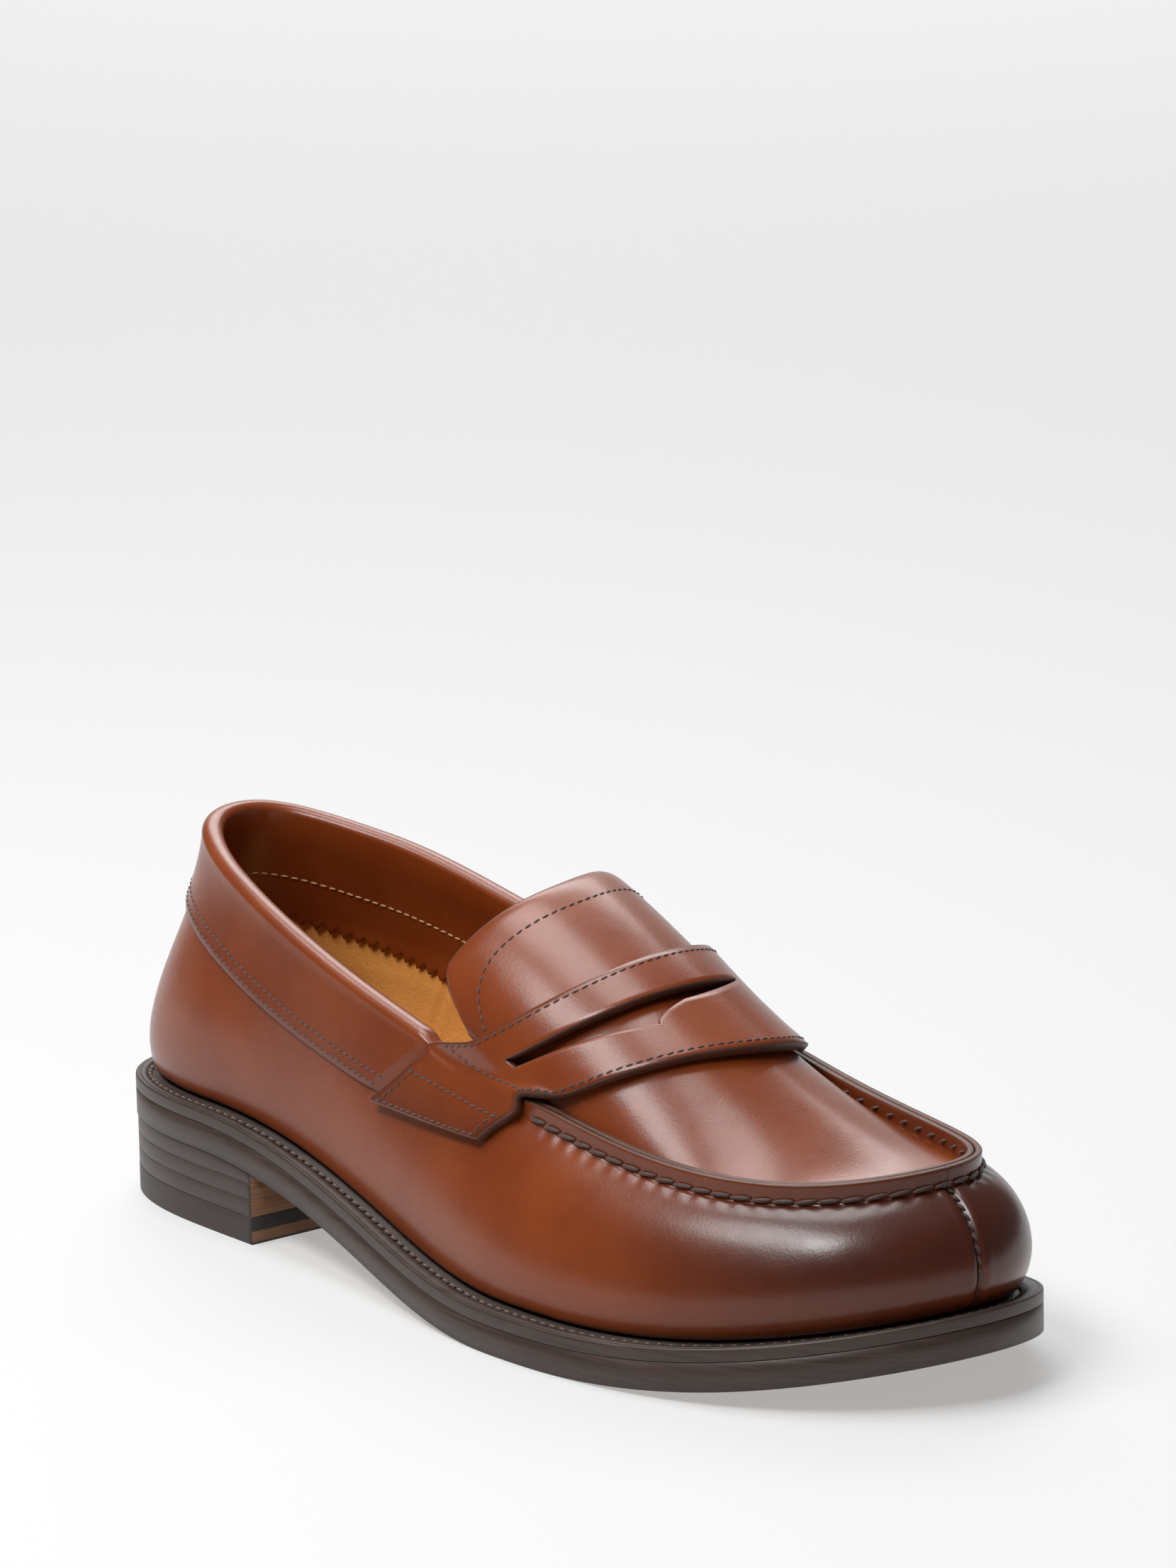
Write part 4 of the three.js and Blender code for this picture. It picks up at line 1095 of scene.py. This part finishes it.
# %% Welt
def welt_ring_mesh():
    s = np.linspace(0, STATIONS, 521)[:-1][:, None]
    shows = spline(WELT_SHOWS, s)
    profile = [(-10.2, -3.3), (-10.2, -0.1), (-1.5, -0.1), (0.1, -0.15), (0.5, -0.75),
               (1.2, -0.95), (2.2, -0.95), (2.7, -0.55), (2.9, -0.10), (3.4, 0.0), (-1.3, 0.0),
               (-1.15, -0.22), (-0.95, -0.22), (-0.8, 0.0), (-0.35, -0.05), (-0.08, -0.30),
               (0.0, -0.8), (0.0, -1.9), (0.0, -3.0), (-0.03, -3.25), (-0.3, -3.3)]
    outs = np.array([p[0] for p in profile])[None, :]
    ups = np.array([p[1] for p in profile])[None, :]
    from_rim = np.arange(len(profile))[None, :] >= 10
    out = np.where(from_rim, shows + outs, outs)
    wheel = 0.10 * np.sin(s * 118) * ((np.arange(len(profile)) == 9)[None, :])
    points = outline(s, out, ups + wheel)
    rows, cols = points.shape[:2]
    i, j = np.meshgrid(np.arange(rows), np.arange(cols), indexing="ij")
    n, m = (i + 1) % rows, (j + 1) % cols
    faces = np.stack([i * cols + j, n * cols + j, n * cols + m, i * cols + m], -1).reshape(-1, 4)
    flat = points.reshape(-1, 3)
    faces = faces.tolist()
    if volume(flat, faces) < 0:
        faces = [f[::-1] for f in faces]
    side = np.broadcast_to((np.arange(cols) >= 15).astype(int), (rows, cols)).reshape(-1)
    piece = link_mesh("welt_strip", flat, faces, [welt_fudge, edge_stain], side.tolist())
    print("welt_strip:", 2 * len(faces), "triangles")
    return piece


welt = welt_ring_mesh()
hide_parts("welt")
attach(welt, "shoe")

# %% Outsole
outsole = plate("outsole_leather", lambda s: GAP - spline(WELT_SHOWS, s), -SOLE_EDGE,
                -WELT_THICKNESS - 0.06, [sole_leather, edge_stain], rows=220, cols=30,
                bulge=0.29, square=0.12)
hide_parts("outsole")
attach(outsole, "shoe")


# %% [markdown]
# ## Heel
# The heel is a stack of lifts on a rubber top piece, nailed from below. It is sanded flush with
# the sole on the outside. The front face, the breast, is cut straight across and left bare.

# %% Heel layers
def breast_station(medial):
    near, far = 0.0, 4.0
    for _ in range(30):
        s = (near + far) / 2
        place = STATIONS - s if medial else s
        x = outline(np.array(place), spline(WELT_SHOWS, s) - GAP)[0]
        near, far = (s, far) if x < HEEL_BREAST else (near, s)
    return near


def heel_layer(name, low, high, materials, proud=0.0):
    ends = breast_station(False), breast_station(True)
    t = np.linspace(0, 1, 70)[:, None] ** 0.8
    u = np.linspace(0, 1, 16)[None, :]
    near, far = ends[0] * t, ends[1] * t
    start = outline(near, spline(WELT_SHOWS, near) - GAP + proud)
    end = outline((STATIONS - far) % STATIONS, spline(WELT_SHOWS, far) - GAP + proud)
    flat = mix(start, end, u[..., None])
    grids = []
    for level in (high, low):
        p = flat.copy()
        p[..., 2] = level(p[..., 0])
        grids.append(p)
    piece = sheet(name, *grids, materials, bulge=0.04, square=0.1)
    normal = np.zeros(3 * len(piece.data.polygons))
    piece.data.polygons.foreach_get("normal", normal)
    slots = np.zeros(len(piece.data.polygons), int)
    piece.data.polygons.foreach_get("material_index", slots)
    slots[(normal.reshape(-1, 3)[:, 0] > 0.7) & (slots == 1)] = len(materials) - 1
    piece.data.polygons.foreach_set("material_index", slots)
    return piece


HEEL_LIFTS = 3
LIFT_PITCH = (HEEL_HEIGHT - TOP_PIECE - GAP) / HEEL_LIFTS
for k in range(HEEL_LIFTS):
    bottom = TOP_PIECE + GAP + k * LIFT_PITCH - 0.24 * (k == 0)
    top = bottom + LIFT_PITCH - 0.04 + 0.24 * (k == 0)
    under_sole = lambda x: welt_top(x) - SOLE_EDGE - 0.06
    high = (under_sole if k == HEEL_LIFTS - 1
            else lambda x, top=top: np.minimum(top, under_sole(x)))
    lift = heel_layer(f"heel_stack_{k + 1}", lambda x, b=bottom: b + 0 * x, high,
                      [bare_lift, edge_stain, bare_lift])
    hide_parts(f"heel_lift_{k + 1}")
    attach(lift, "shoe")
foot = heel_layer("heel_top_piece", lambda x: 0 * x, lambda x: TOP_PIECE + 0 * x,
                  [rubber, heel_stain, breast_face], 0.05)
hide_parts("top_piece")
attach(foot, "shoe")

# %% [markdown]
# ## Stitches
# A row of stitches repeats one shape along a path, which is what Geometry Nodes are for. Each
# path carries the direction that the leather faces. The tree walks the path at one pitch, sets
# a small rounded stitch at each step, turns it along the path and tips it by a slant.

# %% Stitch tree
def stitch_tree():
    tree = bpy.data.node_groups.new("stitch_row", "GeometryNodeTree")
    face = tree.interface.new_socket
    face("Paths", in_out="INPUT", socket_type="NodeSocketGeometry")
    for name in ("Pitch", "Length", "Width", "Height", "Lift", "Slant"):
        face(name, in_out="INPUT", socket_type="NodeSocketFloat")
    face("Seed", in_out="INPUT", socket_type="NodeSocketInt")
    face("Thread", in_out="INPUT", socket_type="NodeSocketMaterial")
    face("Stitches", in_out="OUTPUT", socket_type="NodeSocketGeometry")
    nodes = tree.nodes
    given, made = nodes.new("NodeGroupInput"), nodes.new("NodeGroupOutput")

    def add(kind, settings=None, **links):
        node = nodes.new(kind)
        for key, value in (settings or {}).items():
            setattr(node, key, value)
        for key, value in links.items():
            socket = node.inputs[key.replace("_", " ")]
            if isinstance(value, bpy.types.NodeSocket):
                tree.links.new(value, socket)
            else:
                socket.default_value = value
        return node

    curve = add("GeometryNodeMeshToCurve", Mesh=given.outputs["Paths"])
    points = add("GeometryNodeCurveToPoints", {"mode": "LENGTH"}, Curve=curve.outputs[0],
                 Length=given.outputs["Pitch"])
    facing = add("GeometryNodeInputNamedAttribute", {"data_type": "FLOAT_VECTOR"}, Name="facing")
    lift = add("ShaderNodeVectorMath", {"operation": "SCALE"}, Vector=facing.outputs[0],
               Scale=given.outputs["Lift"])
    moved = add("GeometryNodeSetPosition", Geometry=points.outputs["Points"],
                Offset=lift.outputs[0])
    along = add("FunctionNodeAlignRotationToVector", {"axis": "X"},
                Vector=points.outputs["Tangent"])
    upright = add("FunctionNodeAlignRotationToVector", {"axis": "Z", "pivot_axis": "X"},
                  Rotation=along.outputs[0], Vector=facing.outputs[0])
    jitter = add("FunctionNodeRandomValue", {"data_type": "FLOAT"}, Seed=given.outputs["Seed"])
    jitter.inputs[2].default_value, jitter.inputs[3].default_value = -0.07, 0.07
    slant = add("ShaderNodeMath", {"operation": "ADD"})
    tree.links.new(given.outputs["Slant"], slant.inputs[0])
    tree.links.new(jitter.outputs[1], slant.inputs[1])
    spin = add("FunctionNodeAxisAngleToRotation", Axis=(0, 0, 1), Angle=slant.outputs[0])
    turned = add("FunctionNodeRotateRotation", {"rotation_space": "LOCAL"},
                 Rotation=upright.outputs[0], Rotate_By=spin.outputs[0])
    ball = add("GeometryNodeMeshUVSphere", Segments=8, Rings=6, Radius=0.5)
    size = add("ShaderNodeCombineXYZ", X=given.outputs["Length"], Y=given.outputs["Width"],
               Z=given.outputs["Height"])
    placed = add("GeometryNodeInstanceOnPoints", Points=moved.outputs[0],
                 Instance=ball.outputs[0], Rotation=turned.outputs[0], Scale=size.outputs[0])
    real = add("GeometryNodeRealizeInstances", Geometry=placed.outputs[0])
    smooth = add("GeometryNodeSetShadeSmooth", Geometry=real.outputs[0])
    dyed = add("GeometryNodeSetMaterial", Geometry=smooth.outputs[0],
               Material=given.outputs["Thread"])
    tree.links.new(dyed.outputs[0], made.inputs[0])
    return tree


stitching = stitch_tree()
print("stitch tree:", len(stitching.nodes), "nodes")


# %% Stitch rows
def stitch_rows(name, rows, pitch, length, width, height, lift, slant, material, seed,
                replaced=None, bends=False):
    """rows: pairs of points and facing directions, in millimetres."""
    points = np.concatenate([r[0] for r in rows])
    facings = np.concatenate([r[1] for r in rows])
    edges, start = [], 0
    for path, _ in rows:
        edges += [(start + k, start + k + 1) for k in range(len(path) - 1)]
        start += len(path)
    mesh = bpy.data.meshes.new(name + "_path")
    mesh.from_pydata(((points + SHIFT) * MM).tolist(), edges, [])
    facing = mesh.attributes.new("facing", "FLOAT_VECTOR", "POINT")
    facing.data.foreach_set("vector", facings.astype(np.float32).reshape(-1))
    path = bpy.data.objects.new(name + "_path", mesh)
    bpy.context.scene.collection.objects.link(path)
    modifier = path.modifiers.new("stitches", "NODES")
    modifier.node_group = stitching
    values = {"Pitch": pitch * MM, "Length": length * MM, "Width": width * MM,
              "Height": height * MM, "Lift": lift * MM, "Slant": slant, "Seed": seed,
              "Thread": material}
    for item in stitching.interface.items_tree:
        if item.item_type == "SOCKET" and item.name in values:
            modifier[item.identifier] = values[item.name]
    evaluated = path.evaluated_get(bpy.context.evaluated_depsgraph_get())
    made = bpy.data.meshes.new_from_object(evaluated)
    made.name = name
    bpy.data.objects.remove(path)
    piece = bpy.data.objects.new(name, made)
    bpy.context.scene.collection.objects.link(piece)
    if replaced:
        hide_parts(replaced)
    if bends:
        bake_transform(piece)
    else:
        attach(piece, "shoe")
    print(f"{name}: {len(made.polygons) // 48} stitches")


# %% [markdown]
# The apron is sewn by hand with thick waxed thread: long slanting stitches in the angle outside
# the standing edge, and their other ends on the apron's side. The strap, collar and tongue are
# sewn by machine, about four stitches to the centimetre.

# %% Apron stitches
def seam_path(inset, up, start=5.25):
    s = np.linspace(start, STATIONS - start, 700)
    points = top_point(s, inset, up)
    facing = unit(outward(TOP_LINE, s) * (1 if inset < 1 else -1) + np.array([0, 0, 0.8]))
    return points, facing


stitch_rows("apron_hand_stitches", [seam_path(-0.35, 0.95)], SEAM_PITCH, 5.7, 1.15, 1.15, 0.0,
            0.09, dark_thread, 3, "apron_thread")
stitch_rows("apron_inner_stitches", [seam_path(SEAM_INSET + 0.15, 2.2)], SEAM_PITCH, 2.6, 1.0,
            0.9, 0.0, 0.5, dark_thread, 4)


# %% Strap stitches
MACHINE_STITCH = (2.5, 2.0, 0.62, 0.6, 0.0, 0.10)   # pitch, length, width, height, lift, slant


def strap_line(share, start, end, count):
    rows = np.linspace(start, end, count)
    top = catmull(strap_controls(share, STRAP_THICKNESS), rows)
    return top, unit(top - catmull(strap_controls(share, 0.0), rows))


def strap_crossing(row, start, end, count=24):
    pairs = [strap_line(k, row, row, 1) for k in np.linspace(start, end, count)]
    return np.concatenate([p for p, _ in pairs]), np.concatenate([n for _, n in pairs])


corner, far_corner = row_at(0.03), LAST_ROW - row_at(0.03)
strap_rows = [strap_line(0.05, corner, far_corner, 260), strap_line(0.95, corner, far_corner, 260)]
for low, high, side_row in ((0.22, 1.75, corner), (LAST_ROW - 0.22, LAST_ROW - 1.75, far_corner)):
    strap_rows += [strap_crossing(side_row, 0.05, 0.95), strap_crossing(low, 0.06, 0.94),
                   strap_crossing(high, 0.06, 0.94), strap_line(0.06, low, high, 40),
                   strap_line(0.94, low, high, 40)]
stitch_rows("strap_stitches", strap_rows, *MACHINE_STITCH, dark_thread, 5)

# %% Tongue, collar and lining stitches
q = np.linspace(-1, 1, 220)
tongue_v = 0.5 + 0.5 * 0.83 * q
tongue_s = mix(tongue_end(0.5 + 0.5 * 0.80 * q) + 0.25, strap_rear(tongue_v) - 0.03,
               np.abs(q) ** 8)
tongue_row = (arch(tongue_s, tongue_v, 0.0, TONGUE_INSET),
              arch_normal(tongue_s, tongue_v, TONGUE_INSET))
stitch_rows("tongue_stitches", [tongue_row], *MACHINE_STITCH, dark_thread, 6, bends=True)

collar_rows = []
for t in (0.07, 0.21):
    for first, last in ((0.0, 3.9), (12.1, 15.999)):
        s = np.linspace(first, last, 240)
        collar_rows.append((collar_outer(s, t, 1.15), wall_normal(s, depth_to_h(s, COLLAR_BAND))))
stitch_rows("collar_stitches", collar_rows, 2.4, 1.9, 0.6, 0.55, 0.0, 0.08, dark_thread, 7)

facing_rows = []
for first, last in ((0.0, 4.0), (12.0, 15.999)):
    s = np.linspace(first, last, 240)
    h = depth_to_h(s, COLLAR_BAND - 2.0)
    depth = -lining_inset(s, h) - LINING - 1.5 * GAP - COLLAR_LEATHER
    facing_rows.append((wall(s, h, depth), -wall_normal(s, h)))
stitch_rows("facing_stitches", facing_rows, 2.6, 2.1, 0.6, 0.55, 0.05, 0.05, pale_thread, 8)

# %% Toe seam and welt stitches
h = np.linspace(0.30, 0.97, 90)
stitch_rows("toe_seam_stitches", [(wall(TOE, h, -0.45), wall_normal(TOE, h))],
            2.5, 2.2, 0.9, 0.8, 0.0, 0.35, dark_thread, 9)
s = np.linspace(0, STATIONS, 1400)
upwards = np.broadcast_to([0.0, 0.0, 1.0], (len(s), 3))
stitch_rows("welt_stitches", [(outline(s, 1.75, -0.62), upwards)], 3.3, 3.0, 1.2, 0.9, 0.0, 0.12,
            dark_thread, 10, "welt_thread")
stitch_rows("welt_ticks", [(outline(s, 1.9, -0.25), upwards)], 3.3, 0.9, 0.28, 0.28, 0.0, 0.9,
            pale_thread, 11)

# %% [markdown]
# ## Inner pieces
# The counter, puff, insole, rib, cork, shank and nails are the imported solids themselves. They
# are hidden in a finished shoe, and still get the finish of what they are.

# %% Finishes of the inner solids
inner_finishes = {"heel_counter": fibre_board, "toe_puff": fibre_board, "insole": fibre_board,
                  "insole_rib": fibre_board, "cork_filler": cork, "shank": steel}
inner_finishes.update({f"heel_nail_{k}": brass for k in range(1, 6)})
for name, material in inner_finishes.items():
    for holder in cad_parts[name].material_slots:
        holder.material = material
print("inner solids finished:", len(inner_finishes))
